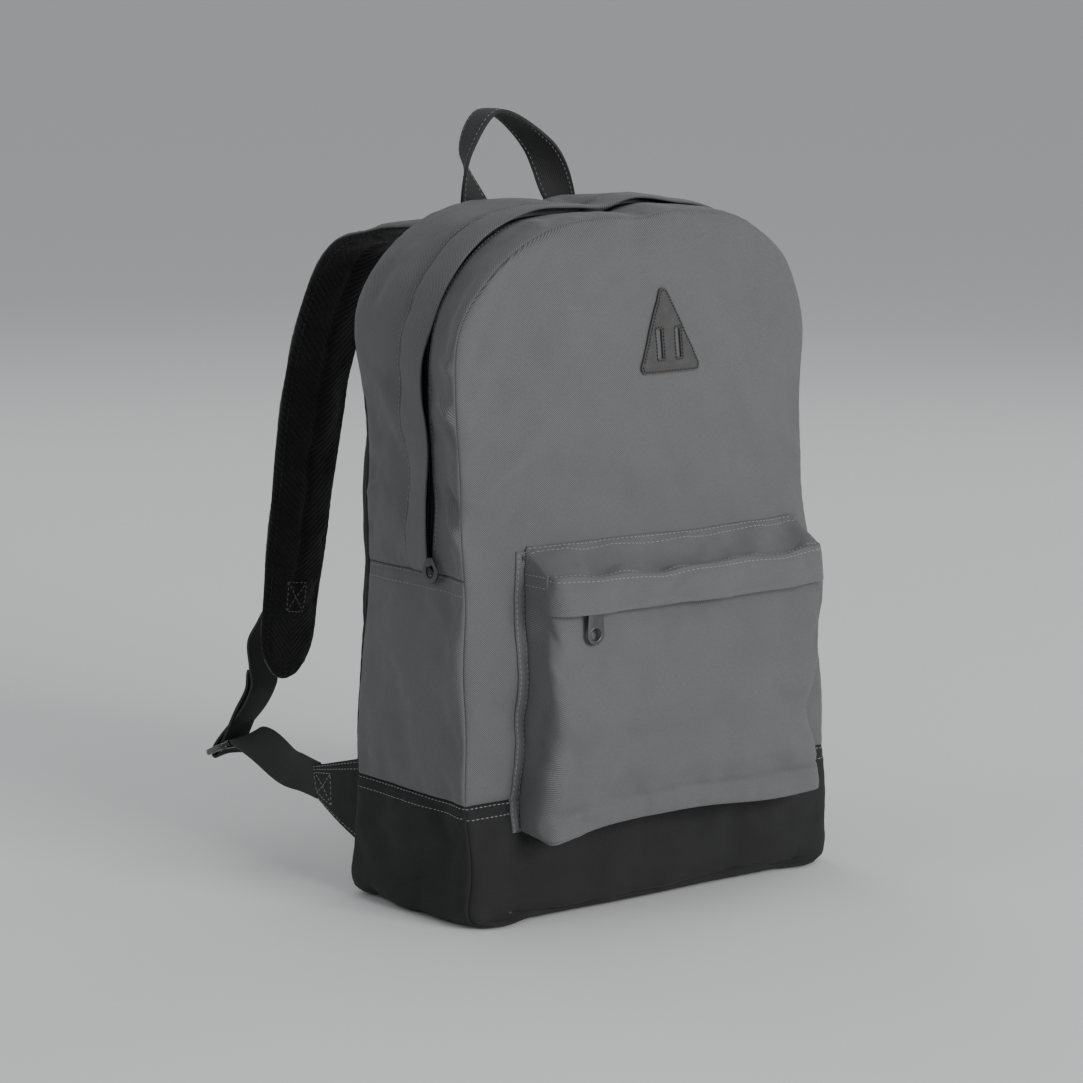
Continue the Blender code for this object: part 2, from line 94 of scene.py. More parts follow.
def unit(v):
    return v / np.maximum(np.linalg.norm(v, axis=-1, keepdims=True), TINY)


def ramp(x, low, high):
    """0 below low, 1 above high, smooth between."""
    t = np.clip((np.asarray(x, float) - low) / (high - low), 0, 1)
    return t * t * (3 - 2 * t)


def hump(x, centre, width):
    return np.exp(-(((np.asarray(x, float) - centre) / width) ** 2))


def inward(t):
    """How far t is from the nearer end of 0 to 1."""
    return np.minimum(t, 1 - t)


def waves(a, b, size, seed, count=8):
    """Smooth random ripples over coordinates a and b, about -1 to 1, with bumps about size long."""
    source = np.random.default_rng(seed)
    total = 0.0
    for _ in range(count):
        angle = source.uniform(0, math.pi)
        length = size * source.uniform(0.7, 1.8)
        phase = source.uniform(0, 2 * math.pi)
        along = a * math.cos(angle) + b * math.sin(angle)
        total = total + np.sin(along * 2 * math.pi / length + phase)
    return total / math.sqrt(count) * 0.8


def grid(a, b):
    return np.meshgrid(a, b, indexing="ij")


def join(*parts):
    """Coordinates, given as arrays or plain numbers, as one array of points."""
    return np.stack(np.broadcast_arrays(*parts), -1)


def grid_normals(p):
    return unit(np.cross(np.gradient(p, axis=0), np.gradient(p, axis=1)))


def travelled(points):
    """The distance covered at each point of a line."""
    return np.concatenate([[0], np.cumsum(np.linalg.norm(np.diff(points, axis=0), axis=1))])


def read_line(at, places, rows):
    """Rows known at some places, read at others."""
    return np.stack([np.interp(at, places, column) for column in np.transpose(rows)], -1)


def smoothed(rows, reach):
    """Each row averaged with its neighbours."""
    count = 2 * reach + 1
    padded = np.pad(rows, ((reach, reach), (0, 0)), mode="edge")
    return np.stack([np.convolve(column, np.ones(count) / count, "valid") for column in padded.T], 1)


def between(a, b):
    """A straight line from a to b, as a function of t from 0 to 1."""
    a, b = np.array(a, float), np.array(b, float)
    return lambda t: a + (b - a) * t[:, None]


def reverse(line):
    return lambda t: line(1 - t)


# ---- Node materials ----
class Surface:
    """A Principled material that is built up from nodes."""

    def __init__(self, name, colour, roughness, sheen=0.0, metallic=0.0, coat=0.0):
        self.material = bpy.data.materials.new(name)
        self.material.use_nodes = True
        self.tree = self.material.node_tree
        self.shader = self.tree.nodes["Principled BSDF"]
        self.colour = self.value("ShaderNodeRGB")
        self.colour.default_value = (*colour, 1)
        self.height = None
        finish = {
            "Roughness": roughness, "Metallic": metallic, "Sheen Weight": sheen,
            "Sheen Roughness": 0.45, "Coat Weight": coat, "Coat Roughness": 0.12,
        }
        for socket, amount in finish.items():
            self.shader.inputs[socket].default_value = amount

    def value(self, kind, output=0, inputs=(), **settings):
        node = self.tree.nodes.new(kind)
        for key, setting in settings.items():
            setattr(node, key, setting)
        for slot, given in dict(inputs).items():
            if isinstance(given, bpy.types.NodeSocket):
                self.tree.links.new(given, node.inputs[slot])
            else:
                node.inputs[slot].default_value = given
        return node.outputs[output]

    def drive(self, socket, value):
        self.tree.links.new(value, self.shader.inputs[socket])

    def coordinates(self, use_uv, turn=0.0):
        source = self.value("ShaderNodeTexCoord", 2 if use_uv else 3)
        return self.value("ShaderNodeMapping", 0, {0: source, 2: (0, 0, turn)})

    def math(self, operation, a, b=0.5):
        return self.value("ShaderNodeMath", 0, {0: a, 1: b}, operation=operation)

    def noise(self, size, detail=3.0, use_uv=False):
        given = {0: self.coordinates(use_uv), 2: 1 / size, 3: detail, 4: 0.55}
        return self.value("ShaderNodeTexNoise", 0, given)

    def bands(self, period, turn, distortion=0.0, detail_scale=1.0):
        """Ribs at the given period over the cloth's own coordinates, turned by an angle."""
        place = self.coordinates(True, turn)
        given = {0: place, 1: 0.31416 / period, 2: distortion, 3: 2.0, 4: detail_scale}
        return self.value("ShaderNodeTexWave", 1, given, wave_type="BANDS", wave_profile="SIN")

    def spread(self, value, low, high):
        return self.value("ShaderNodeMapRange", 0, {0: value, 1: 0.0, 2: 1.0, 3: low, 4: high})

    def tint(self, value, low, high):
        """Multiplies the colour by a value spread from low to high."""
        factor = self.spread(value, low, high)
        grey = self.value("ShaderNodeCombineColor", 0, {0: factor, 1: factor, 2: factor})
        given = {0: 1.0, 6: self.colour, 7: grey}
        self.colour = self.value("ShaderNodeMix", 2, given, data_type="RGBA", blend_type="MULTIPLY")

    def raise_by(self, value, amount):
        """Adds value times amount, in metres, to the fine relief."""
        part = self.math("MULTIPLY", value, amount)
        self.height = part if self.height is None else self.math("ADD", self.height, part)

    def wear(self, gain):
        """Lightens edges by how pointed they are; creases keep their colour."""
        bend = self.value("ShaderNodeNewGeometry", 7)
        self.tint(self.math("SUBTRACT", bend, 0.5), 1.0, 1.0 + gain)

    def done(self):
        self.drive("Base Color", self.colour)
        given = {"Strength": 1.0, "Distance": 1.0, "Height": self.height}
        self.drive("Normal", self.value("ShaderNodeBump", 0, given))
        return self.material


def twill(name, colour, pitch=0.00100, depth=0.00017, contrast=0.50, sheen=0.1):
    """Diagonal twill: ribs with yarns across them, with painted shade in the rib grooves and painted light
    on the crests, fibre grain and soft uneven dye.
    """
    made = Surface(name, colour, 0.86, sheen)
    ribs = made.bands(pitch, math.radians(52), 0.25, 40.0)
    yarns = made.bands(pitch * 0.62, math.radians(-31), 0.2, 60.0)
    weave_relief_and_shade = made.math("ADD", made.math("MULTIPLY", ribs, 0.75), made.math("MULTIPLY", yarns, 0.25))
    # Painted shade and light: the colour is darker where the weave relief is low, in the grooves, and
    # lighter on the crests.
    made.tint(weave_relief_and_shade, 1.0 - contrast, 1.0 + contrast)
    made.tint(made.noise(0.05, 4), 0.92, 1.08)
    made.tint(made.noise(0.0016, 2, True), 0.86, 1.14)
    made.raise_by(weave_relief_and_shade, depth)
    made.raise_by(made.noise(0.0012, 2, True), depth * 0.6)
    made.raise_by(made.noise(0.012, 3), 0.0004)
    made.drive("Roughness", made.spread(made.noise(0.02, 3), 0.78, 0.92))
    return made.done()


def webbing(name, colour):
    """Woven narrow tape: fine ribs across, yarn columns along, with painted shade in the grooves between
    them and painted light on the ribs.
    """
    made = Surface(name, colour, 0.75, 0.05)
    ribs = made.bands(0.0013, math.pi / 2, 0.1, 20.0)
    columns = made.bands(0.0017, 0.0, 0.0, 1.0)
    weave_relief_and_shade = made.math("MULTIPLY", ribs, made.spread(columns, 0.5, 1.0))
    # Painted shade and light: darker in the grooves of the weave, lighter on its ribs.
    made.tint(weave_relief_and_shade, 0.7, 1.4)
    made.tint(made.noise(0.004, 3), 0.85, 1.2)
    made.raise_by(weave_relief_and_shade, 0.00025)
    return made.done()


def knit(name, colour):
    """Spacer mesh: slanting ridges of small loops, with painted shade in the grooves and holes between
    them and painted light on the ridges.
    """
    made = Surface(name, colour, 0.85, 0.05)
    place = made.coordinates(True)
    parts = made.value("ShaderNodeSeparateXYZ", 0, {0: place}).node
    across = made.math("ABSOLUTE", made.math("SUBTRACT", parts.outputs[1], STRAP_WIDTH / 2))
    slanted = made.math("ADD", parts.outputs[0], across)
    ridge = made.math("SINE", made.math("MULTIPLY", slanted, 2 * math.pi / MESH_RIDGE))
    ridge = made.spread(made.math("MULTIPLY", ridge, 0.5), 0.5, 1.0)
    cells = made.value("ShaderNodeTexVoronoi", 0, {0: place, 2: 1 / 0.0015}, feature="F1")
    loops = made.math("SUBTRACT", 1.0, cells)
    # Painted light and shade: the ridges are lightened and the grooves between them darkened.
    made.tint(ridge, 0.12, 3.2)
    # Painted shade in the holes between the loops.
    made.tint(loops, 0.3, 1.7)
    made.tint(made.noise(0.01, 3), 0.85, 1.2)
    made.raise_by(ridge, 0.0022)
    made.raise_by(loops, 0.0004)
    return made.done()


def suede(name, colour):
    """Napped surface: soft blotches and short fibres."""
    made = Surface(name, colour, 0.95, 0.15)
    made.tint(made.noise(0.006, 5), 0.75, 1.3)
    made.tint(made.noise(0.0007, 2), 0.8, 1.2)
    made.raise_by(made.noise(0.0009, 4), 0.00025)
    made.raise_by(made.noise(0.006, 3), 0.0003)
    made.wear(0.3)
    return made.done()


def moulded(name, colour, roughness, coat, metallic=0.0):
    """Moulded plastic or lacquered metal: faint orange peel, scuffs and paler edges."""
    made = Surface(name, colour, roughness, 0.0, metallic, coat)
    made.drive("Roughness", made.spread(made.noise(0.003, 6), roughness * 0.8, roughness * 1.4))
    made.tint(made.noise(0.008, 4), 0.85, 1.2)
    made.raise_by(made.noise(0.0015, 3), 0.00004)
    made.wear(0.5)
    return made.done()


def sewing_thread(name, colour):
    made = Surface(name, colour, 0.6, 0.2)
    twist = made.noise(0.0004, 2)
    made.tint(twist, 0.8, 1.15)
    made.raise_by(twist, 0.0001)
    return made.done()


GREY = twill("grey_twill", (0.112, 0.113, 0.117))
BLACK = twill("black_twill", (0.0098, 0.0098, 0.0101), contrast=0.4, sheen=0.03)
LINING = twill("lining", (0.05, 0.05, 0.053), pitch=0.0006, depth=0.00006, contrast=0.15)
TAPE = twill("zip_tape", (0.010, 0.010, 0.0105), pitch=0.0008, contrast=0.3, sheen=0.1)
WEB = webbing("black_webbing", (0.0175, 0.0175, 0.0178))
KNIT = knit("spacer_mesh", (0.0038, 0.0036, 0.0035))
SUEDE = suede("suede", (0.062, 0.060, 0.059))
PLASTIC = moulded("buckle_plastic", (0.008, 0.008, 0.008), 0.16, 0.6)
METAL = moulded("zip_metal", (0.075, 0.075, 0.078), 0.36, 0.2, 0.75)
COIL = moulded("zip_coil", (0.014, 0.014, 0.0145), 0.4, 0.1)
THREAD = sewing_thread("grey_thread", (0.235, 0.235, 0.24))
DARK_THREAD = sewing_thread("dark_thread", (0.02, 0.02, 0.02))
FOAM = suede("foam_lining", (0.035, 0.035, 0.037))


# ---- Meshes and placing ----
def link(obj):
    bpy.context.scene.collection.objects.link(obj)
    return obj


def mesh_object(name, verts, faces, material):
    mesh = bpy.data.meshes.new(name)
    mesh.from_pydata(np.asarray(verts, float).reshape(-1, 3).tolist(), [], faces)
    mesh.materials.append(material)
    mesh.shade_smooth()
    mesh.update()
    return link(bpy.data.objects.new(name, mesh))


def grid_faces(rows, columns):
    i, j = grid(np.arange(rows - 1), np.arange(columns - 1))
    a = (i * columns + j).ravel()
    return np.stack([a, a + columns, a + columns + 1, a + 1], 1).tolist()


def tube_faces(rings, sides, closed=False):
    """Faces between rings of points. Closed also joins the last ring to the first."""
    faces = []
    for i in range(rings if closed else rings - 1):
        a, b = i * sides, (i + 1) % rings * sides
        for k in range(sides):
            after = (k + 1) % sides
            faces.append((a + k, b + k, b + after, a + after))
    return faces


def sheet_object(name, p, coords, material, thickness=CLOTH, lining=None):
    """A grid of points as a thin closed sheet, thickened to the inside."""
    obj = mesh_object(name, p, grid_faces(*p.shape[:2]), material)
    layer = obj.data.uv_layers.new(name="cloth")
    corners = np.zeros(len(obj.data.loops), int)
    obj.data.loops.foreach_get("vertex_index", corners)
    layer.data.foreach_set("uv", coords.reshape(-1, 2)[corners].astype(np.float32).ravel())
    solid = obj.modifiers.new("thickness", "SOLIDIFY")
    solid.thickness = thickness
    solid.offset = -1.0
    if lining:
        obj.data.materials.append(lining)
        solid.material_offset = 1
    return obj


def place(obj, body, slot, *nodes, bend_to=None, start=None, end=None):
    """Makes obj move with its body; when bend_to is given, only bakes its transform into its mesh. Hides
    the CAD nodes it stands in for.
    """
    if bend_to:
        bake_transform(obj)
        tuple(start)
        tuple(end)
    else:
        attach(obj, body)
    if nodes:
        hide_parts(*nodes)


MOUTH = {"bend_to": "mouth", "start": (0, 0, FOLD_Z), "end": (0, 0, FOLD_Z + BEND_SPAN)}
LID = {"bend_to": "pocket_flap", "start": (0, 0, LID_TOP + 0.0008), "end": (0, 0, LID_TOP - 0.0035)}


# ---- The bag's outline and its stuffed, uneven shape ----
CORNER = math.pi / 2 * FOOT_RADIUS
SIDE = TOP - TOP_RADIUS - FOOT_RADIUS
BEND = math.pi / 2 * TOP_RADIUS
FLAT = 2 * (HALF - TOP_RADIUS)
TOTAL = 2 * (CORNER + SIDE + BEND) + FLAT


def at_height(z, side):
    """Arc length along the outline of the straight side's point at height z."""
    s = CORNER + (z - FOOT_RADIUS)
    return s if side < 0 else TOTAL - s


def outline(s):
    """Point (x, z) and outward normal at arc length s, from the left foot over the top to the right."""
    s = np.asarray(s, float)
    right = s > TOTAL / 2
    m = np.where(right, TOTAL - s, s)
    a = np.clip(m, 0, CORNER) / FOOT_RADIUS
    b = np.clip(m - CORNER, 0, SIDE)
    c = np.clip(m - CORNER - SIDE, 0, BEND) / TOP_RADIUS
    d = np.clip(m - CORNER - SIDE - BEND, 0, FLAT / 2)
    x = -(HALF - FOOT_RADIUS) - FOOT_RADIUS * np.sin(a) + TOP_RADIUS * (1 - np.cos(c)) + d
    z = FOOT_RADIUS * (1 - np.cos(a)) + b + TOP_RADIUS * np.sin(c)
    nx = np.where(m < CORNER, -np.sin(a), -np.cos(c))
    nz = np.where(m < CORNER, -np.cos(a), np.sin(c))
    sign = np.where(right, -1.0, 1.0)
    return x * sign, z, nx * sign, nz


def waist(z):
    """How far the bag's rear edges are drawn in half-way up."""
    return 0.012 * hump(z, 0.215, 0.065) + 0.008 * hump(z, 0.305, 0.06)


def foot_corner(x):
    """1 at the bag's left and right ends, 0 further in."""
    return ramp(np.abs(x), HALF - 0.030, HALF - FOOT_RADIUS * 0.3)


def sideways(x, y, z):
    """Shift in x: the left shoulder, the narrow right side, the left front edge and the spread foot."""
    share = x / HALF
    left, right = np.minimum(share, 0), np.maximum(share, 0)
    shift = 0.0045 * left * hump(z, 0.378, 0.035)
    shift = shift + right * (0.005 * hump(z, 0.02, 0.09) - 0.0165 * hump(z, 0.282, 0.10))
    fore = (1 - ramp(y, FRONT_Y, FRONT_Y + 0.021)) * ramp(-share, 0.6, 1.0)
    shift = shift - fore * (0.0040 * ramp(z, 0.03, 0.08) + 0.0085 * hump(z, 0.335, 0.065))
    shift = shift + np.sign(x) * 0.0030 * foot_corner(x) * (1 - ramp(z, 0.0, 0.03))
    return shift + 0.0011 * waves(y, z, 0.09, 3) * ramp(np.abs(share), 0.6, 1.0)


def rearwards(x, y, z):
    """Shift in y: the twisted top, the full foot, the drawn-in waist and the swollen rear edges."""
    share = x / HALF
    shift = (0.004 * np.minimum(share, 0) + 0.011 * np.maximum(share, 0)) * ramp(z, 0.22, 0.38)
    inner = ramp(HALF - np.abs(x), 0.0, 0.022)
    front = 1 - ramp(y, FRONT_Y, FRONT_Y + 0.05)
    shift = shift - 0.0075 * (1 - ramp(z, 0.0, 0.062)) * inner * front
    rear = ramp(y, -0.01, BACK_Y)
    shift = shift - rear * waist(z) * ramp(np.abs(share), 0.55, 1.0)
    shift = shift + rear * (0.0075 * hump(z, 0.385, 0.05) + 0.0065 * hump(z, 0.02, 0.045))
    return shift + 0.0008 * waves(x, z, 0.08, 7)


def upwards(x, y, z):
    """Shift in z: the uneven top and the rounded, slightly lifted foot."""
    shift = 0.004 * (hump(x, -0.045, 0.05) - hump(x, -0.012, 0.016)) + 0.0008 * waves(x, y, 0.07, 5)
    shift = shift + 0.003 * np.sin(x * 38 + 0.8) * (1 - ramp(y, -0.02, 0.05) * 0.5)
    lifted = 0.0022 * (1 - ramp(z, 0.0, 0.035))
    return shift * ramp(z, 0.38, 0.43) + lifted - 0.42 * foot_corner(x) * np.clip(FOOT_RADIUS - z, 0, z)


def soften(p):
    """Moves points of the plain outline to where the stuffed cloth hangs."""
    p = np.array(p, float)
    x, y, z = np.moveaxis(p, -1, 0)
    return p + join(sideways(x, y, z), rearwards(x, y, z), upwards(x, y, z))


def body_point(s, y, out=0.0):
    x, z, nx, nz = outline(s)
    return soften(join(x + nx * out, y, z + nz * out))


def run(start, stop, y, out=0.0):
    """A seam line along the outline at depth y, as a function of t from 0 to 1."""
    return lambda t: body_point(start + (stop - start) * t, y, out)


def rung(s, y_start, y_stop):
    """A seam line from front to back, or back to front, at one place on the outline."""
    return lambda t: body_point(s + 0 * t, y_start + (y_stop - y_start) * t)


def straight(a, b):
    line = between(a, b)
    return lambda t: soften(line(t))


# ---- Sewn sheets ----
SHEET_OPTIONS = {
    "puff": 0.0, "fullness": 0.55, "shape": None, "facing": None,
    "ease": 0.007, "pressure": 0.4, "cap": 0.004,
    "seams": "snwe", "valley": 0.0015, "rows": (), "grooves": (), "rounded": (), "folds": (),
    "step": 0.0032, "ripple": 0.0006,
}
COARSE_STEP = 0.006
VALLEY_WIDTH = 0.0009


def gathers(along, pitch, drift, size, seed):
    """Small regular puckers whose pitch wanders a little."""
    return np.sin(along * 2 * math.pi / pitch + drift * waves(along, 0, size, seed))


class Sheet:
    """Cloth between four seam lines: south and north run along u, west and east along v."""

    def __init__(self, name, south, north, west, east, size, **options):
        self.name = name
        self.edges = (south, north, west, east)
        self.size = size
        vars(self).update(SHEET_OPTIONS | options)
        self.counts = [max(6, int(round(length / COARSE_STEP)) + 1) for length in size]
        self.shift = np.zeros((*self.counts, 3))

    def surface(self, u, v):
        """The plain shape: the seam lines filled in between, swollen outwards."""
        south, north, west, east = self.edges
        lower, upper = south(u)[:, None], north(u)[:, None]
        left, right = west(v)[None], east(v)[None]
        a, b = u[:, None, None], v[None, :, None]
        corners = (1 - a) * (1 - b) * lower[0, 0] + a * (1 - b) * lower[-1, 0]
        corners = corners + (1 - a) * b * upper[0, 0] + a * b * upper[-1, 0]
        p = (1 - b) * lower + b * upper + (1 - a) * left + a * right - corners
        swell = (np.sin(math.pi * u)[:, None] * np.sin(math.pi * v)[None]) ** self.fullness
        amount = self.puff * np.clip(swell, 0, 1)
        if self.shape is not None:
            amount = amount + self.shape(*grid(u, v))
        return p + self.outward(p) * amount[..., None]

    def outward(self, p):
        """The way the cloth faces: one direction for the bag's big faces, its own normals elsewhere."""
        if self.facing is None:
            return grid_normals(p)
        return np.array([0.0, self.facing, 0.0]) + 0 * p

    def coarse(self):
        return self.surface(*[np.linspace(0, 1, n) for n in self.counts])

    def seam_distances(self, a, b, p):
        """Distance of every point from each of the four seams."""
        width, height = self.size
        if self.facing is None:
            return {"w": a, "e": width - a, "s": b, "n": height - b}
        found = {}
        for side, line in zip("snwe", self.edges):
            marks = line(np.linspace(0, 1, 200))
            closest = np.full(p.shape[:-1], np.inf)
            for start, step in zip(marks[:-1], np.diff(marks, axis=0)):
                share = np.clip((p - start) @ step / max(step @ step, TINY), 0, 1)
                closest = np.minimum(closest, ((p - start - share[..., None] * step) ** 2).sum(-1))
            found[side] = np.sqrt(closest)
        return found

    def lift(self, away):
        """Seams lie in narrow valleys and rounded sides fall away gently; both start at their line."""
        profiles = [(side, self.valley, VALLEY_WIDTH) for side in self.seams] + list(self.rounded)
        total = max([rise for _, rise, _ in profiles], default=0.0)
        for side, _, width in profiles:
            total = total * (1 - np.exp(-away[side] / width))
        return total

    def puckers(self, a, b, away):
        """Cloth gathered along the seams, and pressed in along the stitch rows."""
        total = 0.0
        for side in self.seams:
            small = gathers(b if side in "we" else a, 0.0105, 2, 0.05, 17)
            total = total + 0.00022 * small * hump(away[side], 0.006, 0.005)
        for side, distance in self.rows:
            small = gathers(b if side in "we" else a, 0.0068, 3, 0.04, 23)
            total = total + 0.00016 * small * hump(away[side], distance, 0.0035)
            total = total - 0.00035 * hump(away[side], distance, 0.0011)
        return total

    def creases(self, a, b, away):
        """Soft folds, each from (a0, b0) to (a1, b1), fading out before the held sides."""
        held = self.seams + "".join(side for side, *_ in self.rounded)
        closest = np.min([away[side] for side in held or "snwe"], axis=0)
        total = 0.0
        for a0, b0, a1, b1, breadth, rise in self.folds:
            length = math.hypot(a1 - a0, b1 - b0)
            along = ((a - a0) * (a1 - a0) + (b - b0) * (b1 - b0)) / length
            off = ((a - a0) * (b1 - b0) - (b - b0) * (a1 - a0)) / length
            taper = ramp(along / length, -0.15, 0.25) * (1 - ramp(along / length, 0.75, 1.15))
            wander = breadth * 0.5 * waves(along, 0, 0.03, 31)
            total = total + rise * taper * hump(off, wander, breadth)
        return total * ramp(closest, 0.0, 0.004)

    def relief(self, a, b, p):
        """Fine height over the sheet: ripples, seam valleys, puckers, folds and grooves."""
        away = self.seam_distances(a, b, p)
        ripples = waves(a, b, 0.045, len(self.name) * 7 + int(self.size[0] * 1000))
        ripples = ripples + 0.35 * waves(a, b, 0.014, len(self.name) * 5 + 11)
        total = self.ripple * ripples * ramp(np.min(list(away.values()), axis=0), 0.0, 0.012)
        total = total + self.lift(away) + self.puckers(a, b, away) + self.creases(a, b, away)
        for groove in self.grooves:
            total = total + groove(a / self.size[0], b)
        return total

    def finish(self):
        """Works out the fine grid once the simulation has set self.shift."""
        width, height = self.size
        self.u, self.v = knots(width, self.step), knots(height, self.step)
        weights_u = cubic_weights(self.u, self.counts[0])
        weights_v = cubic_weights(self.v, self.counts[1])
        eased = np.einsum("ik,klc,jl->ijc", weights_u, self.shift, weights_v)
        p = self.surface(self.u, self.v) + eased
        a, b = grid(self.u * width, self.v * height)
        self.points = p + self.outward(p) * self.relief(a, b, p)[..., None]
        self.normals = grid_normals(self.points)
        self.coords = join(a, b) if self.facing is None else self.points[..., [0, 2]]
        return self

    def read(self, a, b):
        """Points and normals at fractions a along u and b along v."""
        i = np.interp(a, self.u, np.arange(len(self.u)))
        j = np.interp(b, self.v, np.arange(len(self.v)))
        i0 = np.minimum(i.astype(int), len(self.u) - 2)
        j0 = np.minimum(j.astype(int), len(self.v) - 2)
        fi, fj = (i - i0)[:, None], (j - j0)[:, None]
        out = []
        for field in (self.points, self.normals):
            low = field[i0, j0] * (1 - fi) + field[i0 + 1, j0] * fi
            high = field[i0, j0 + 1] * (1 - fi) + field[i0 + 1, j0 + 1] * fi
            out.append(low * (1 - fj) + high * fj)
        return out[0], unit(out[1])

    def row(self, side, distance, start=0.0, stop=1.0):
        """Points and normals along a stitch row at a distance from one side."""
        level = side in "sn"
        along, across = self.size if level else self.size[::-1]
        t = np.linspace(start, stop, max(8, int(along / 0.001)))
        far = distance / across
        fixed = np.full_like(t, far if side in "sw" else 1 - far)
        return self.read(t, fixed) if level else self.read(fixed, t)

    def all_rows(self, start=0.0, stop=1.0):
        return [self.row(side, distance, start, stop) for side, distance in self.rows]

    def make(self, material, thickness=CLOTH, lining=None):
        return sheet_object(self.name, self.points, self.coords, material, thickness, lining)


def knots(length, step):
    """Places from 0 to 1 along a side, close together near its ends, where the seams are."""
    near = np.array([0.0, 0.0004, 0.0009, 0.0016, 0.0026, 0.0042])
    inner = max(2, int(round((length - 2 * near[-1]) / step)))
    middle = np.linspace(near[-1], length - near[-1], inner + 1)[1:-1]
    return np.concatenate([near, middle, length - near[::-1]]) / length


def cubic_weights(t, count):
    """Weights that read a row of count evenly spaced values at the places t, smoothly."""
    x = t * (count - 1)
    k = np.clip(x.astype(int), 0, count - 2)
    u = x - k
    parts = (
        -0.5 * u + u**2 - 0.5 * u**3,
        1 - 2.5 * u**2 + 1.5 * u**3,
        0.5 * u + 2 * u**2 - 1.5 * u**3,
        -0.5 * u**2 + 0.5 * u**3,
    )
    table = np.zeros((len(t), count))
    for offset, part in zip((-1, 0, 1, 2), parts):
        np.add.at(table, (np.arange(len(t)), np.clip(k + offset, 0, count - 1)), part)
    return table


def smooth_line(points, t):
    """Points at t, from 0 to 1, on a smooth line through the given points (Catmull-Rom)."""
    points = np.array(points, float)
    padded = np.vstack([2 * points[0] - points[1], points, 2 * points[-1] - points[-2]])
    place_ = np.clip(np.asarray(t, float), 0, 1) * (len(points) - 1)
    k = np.minimum(place_.astype(int), len(points) - 2)
    u = (place_ - k)[:, None]
    p0, p1, p2, p3 = [padded[k + i] for i in range(4)]
    square = (2 * p0 - 5 * p1 + 4 * p2 - p3) * u**2
    cube = (3 * p1 - p0 - 3 * p2 + p3) * u**3
    return 0.5 * (2 * p1 + (p2 - p0) * u + square + cube)


# ---- Easing by cloth simulation ----
FRAMES = 22
CLOTH_SETTINGS = {
    "quality": 5, "mass": 0.25, "air_damping": 4.0, "tension_stiffness": 18, "compression_stiffness": 18,
    "shear_stiffness": 6, "bending_stiffness": 2.0, "vertex_group_mass": "seams", "use_pressure": True,
}


def pinned_cloth(sheet):
    """The sheet as a coarse cloth object that is held along its four seams."""
    p = sheet.coarse()
    rows, columns = sheet.counts
    a, b = grid(np.arange(rows), np.arange(columns))
    nudge = waves(a * COARSE_STEP, b * COARSE_STEP, 0.04, len(sheet.name) + rows) * 0.0006
    border = (a == 0) | (b == 0) | (a == rows - 1) | (b == columns - 1)
    start = p + sheet.outward(p) * np.where(border, 0, nudge)[..., None]
    obj = mesh_object("easing_" + sheet.name, start, grid_faces(rows, columns), LINING)
    pins = obj.vertex_groups.new(name="seams")
    pins.add(np.flatnonzero(border.ravel()).tolist(), 1.0, "ADD")
    cloth = obj.modifiers.new("cloth", "CLOTH")
    for key, value in CLOTH_SETTINGS.items():
        setattr(cloth.settings, key, value)
    cloth.settings.uniform_pressure_force = sheet.pressure
    cloth.settings.shrink_min = -sheet.ease
    cloth.settings.effector_weights.gravity = 0.0
    cloth.collision_settings.use_collision = False
    return obj, p


def simulate(sheets):
    """Eases every sheet inside its fixed seam lines with one cloth simulation for all of them."""
    jobs = [pinned_cloth(sheet) for sheet in sheets]
    scene = bpy.context.scene
    for number in range(1, FRAMES + 1):
        scene.frame_set(number)
    depsgraph = bpy.context.evaluated_depsgraph_get()
    for sheet, (obj, p) in zip(sheets, jobs):
        result = obj.evaluated_get(depsgraph).data
        moved = np.zeros(len(result.vertices) * 3, np.float32)
        result.vertices.foreach_get("co", moved)
        shift = moved.reshape(p.shape).astype(float) - p
        size = np.linalg.norm(shift, axis=-1, keepdims=True)
        sheet.shift = shift * np.minimum(1.0, sheet.cap / np.maximum(size, TINY))
        bpy.data.objects.remove(obj)
    scene.frame_set(1)


# ---- Stitches: small real threads ----
STITCH_SIDES = 6
STITCH_RINGS = (
    (-0.5, 0.25, -0.55), (-0.34, 0.8, 0.15), (0.0, 1.0, 0.55), (0.34, 0.8, 0.15), (0.5, 0.25, -0.55),
)


def stitch_template():
    """One stitch along x: a thin spindle whose ends dip into the cloth."""
    verts = []
    for along, radius, lift in STITCH_RINGS:
        for k in range(STITCH_SIDES):
            angle = 2 * math.pi * k / STITCH_SIDES
            verts.append((along, radius * math.cos(angle), radius * math.sin(angle) + lift))
    faces = [(a, d, c, b) for a, b, c, d in tube_faces(len(STITCH_RINGS), STITCH_SIDES)]
    ends = range(STITCH_SIDES), range(len(verts) - STITCH_SIDES, len(verts))
    return np.array(verts), faces + [tuple(ends[0])[::-1], tuple(ends[1])]


STITCH_VERTS, STITCH_FACES = stitch_template()


def stitches(name, lines, material=THREAD, pitch=0.0034, length=0.0025, radius=0.00032):
    """Threads along lines, each given as points and normals. Returns one mesh object."""
    verts, faces = [], []
    for points, normals in lines:
        covered = travelled(points)
        for k in range(int((covered[-1] - length) / pitch) + 1):
            at = length / 2 + k * pitch
            first, last = read_line([at - length / 2, at + length / 2], covered, points)
            forward = unit(last - first)
            side = unit(np.cross(unit(read_line(at, covered, normals)), forward))
            span = np.linalg.norm(last - first)
            local = STITCH_VERTS * np.array([span, radius, radius])
            start = len(verts) * len(STITCH_VERTS)
            verts.append((first + last) / 2 + local @ np.stack([forward, side, np.cross(forward, side)]))
            faces += [tuple(i + start for i in face) for face in STITCH_FACES]
    return mesh_object(name, np.concatenate(verts), faces, material)


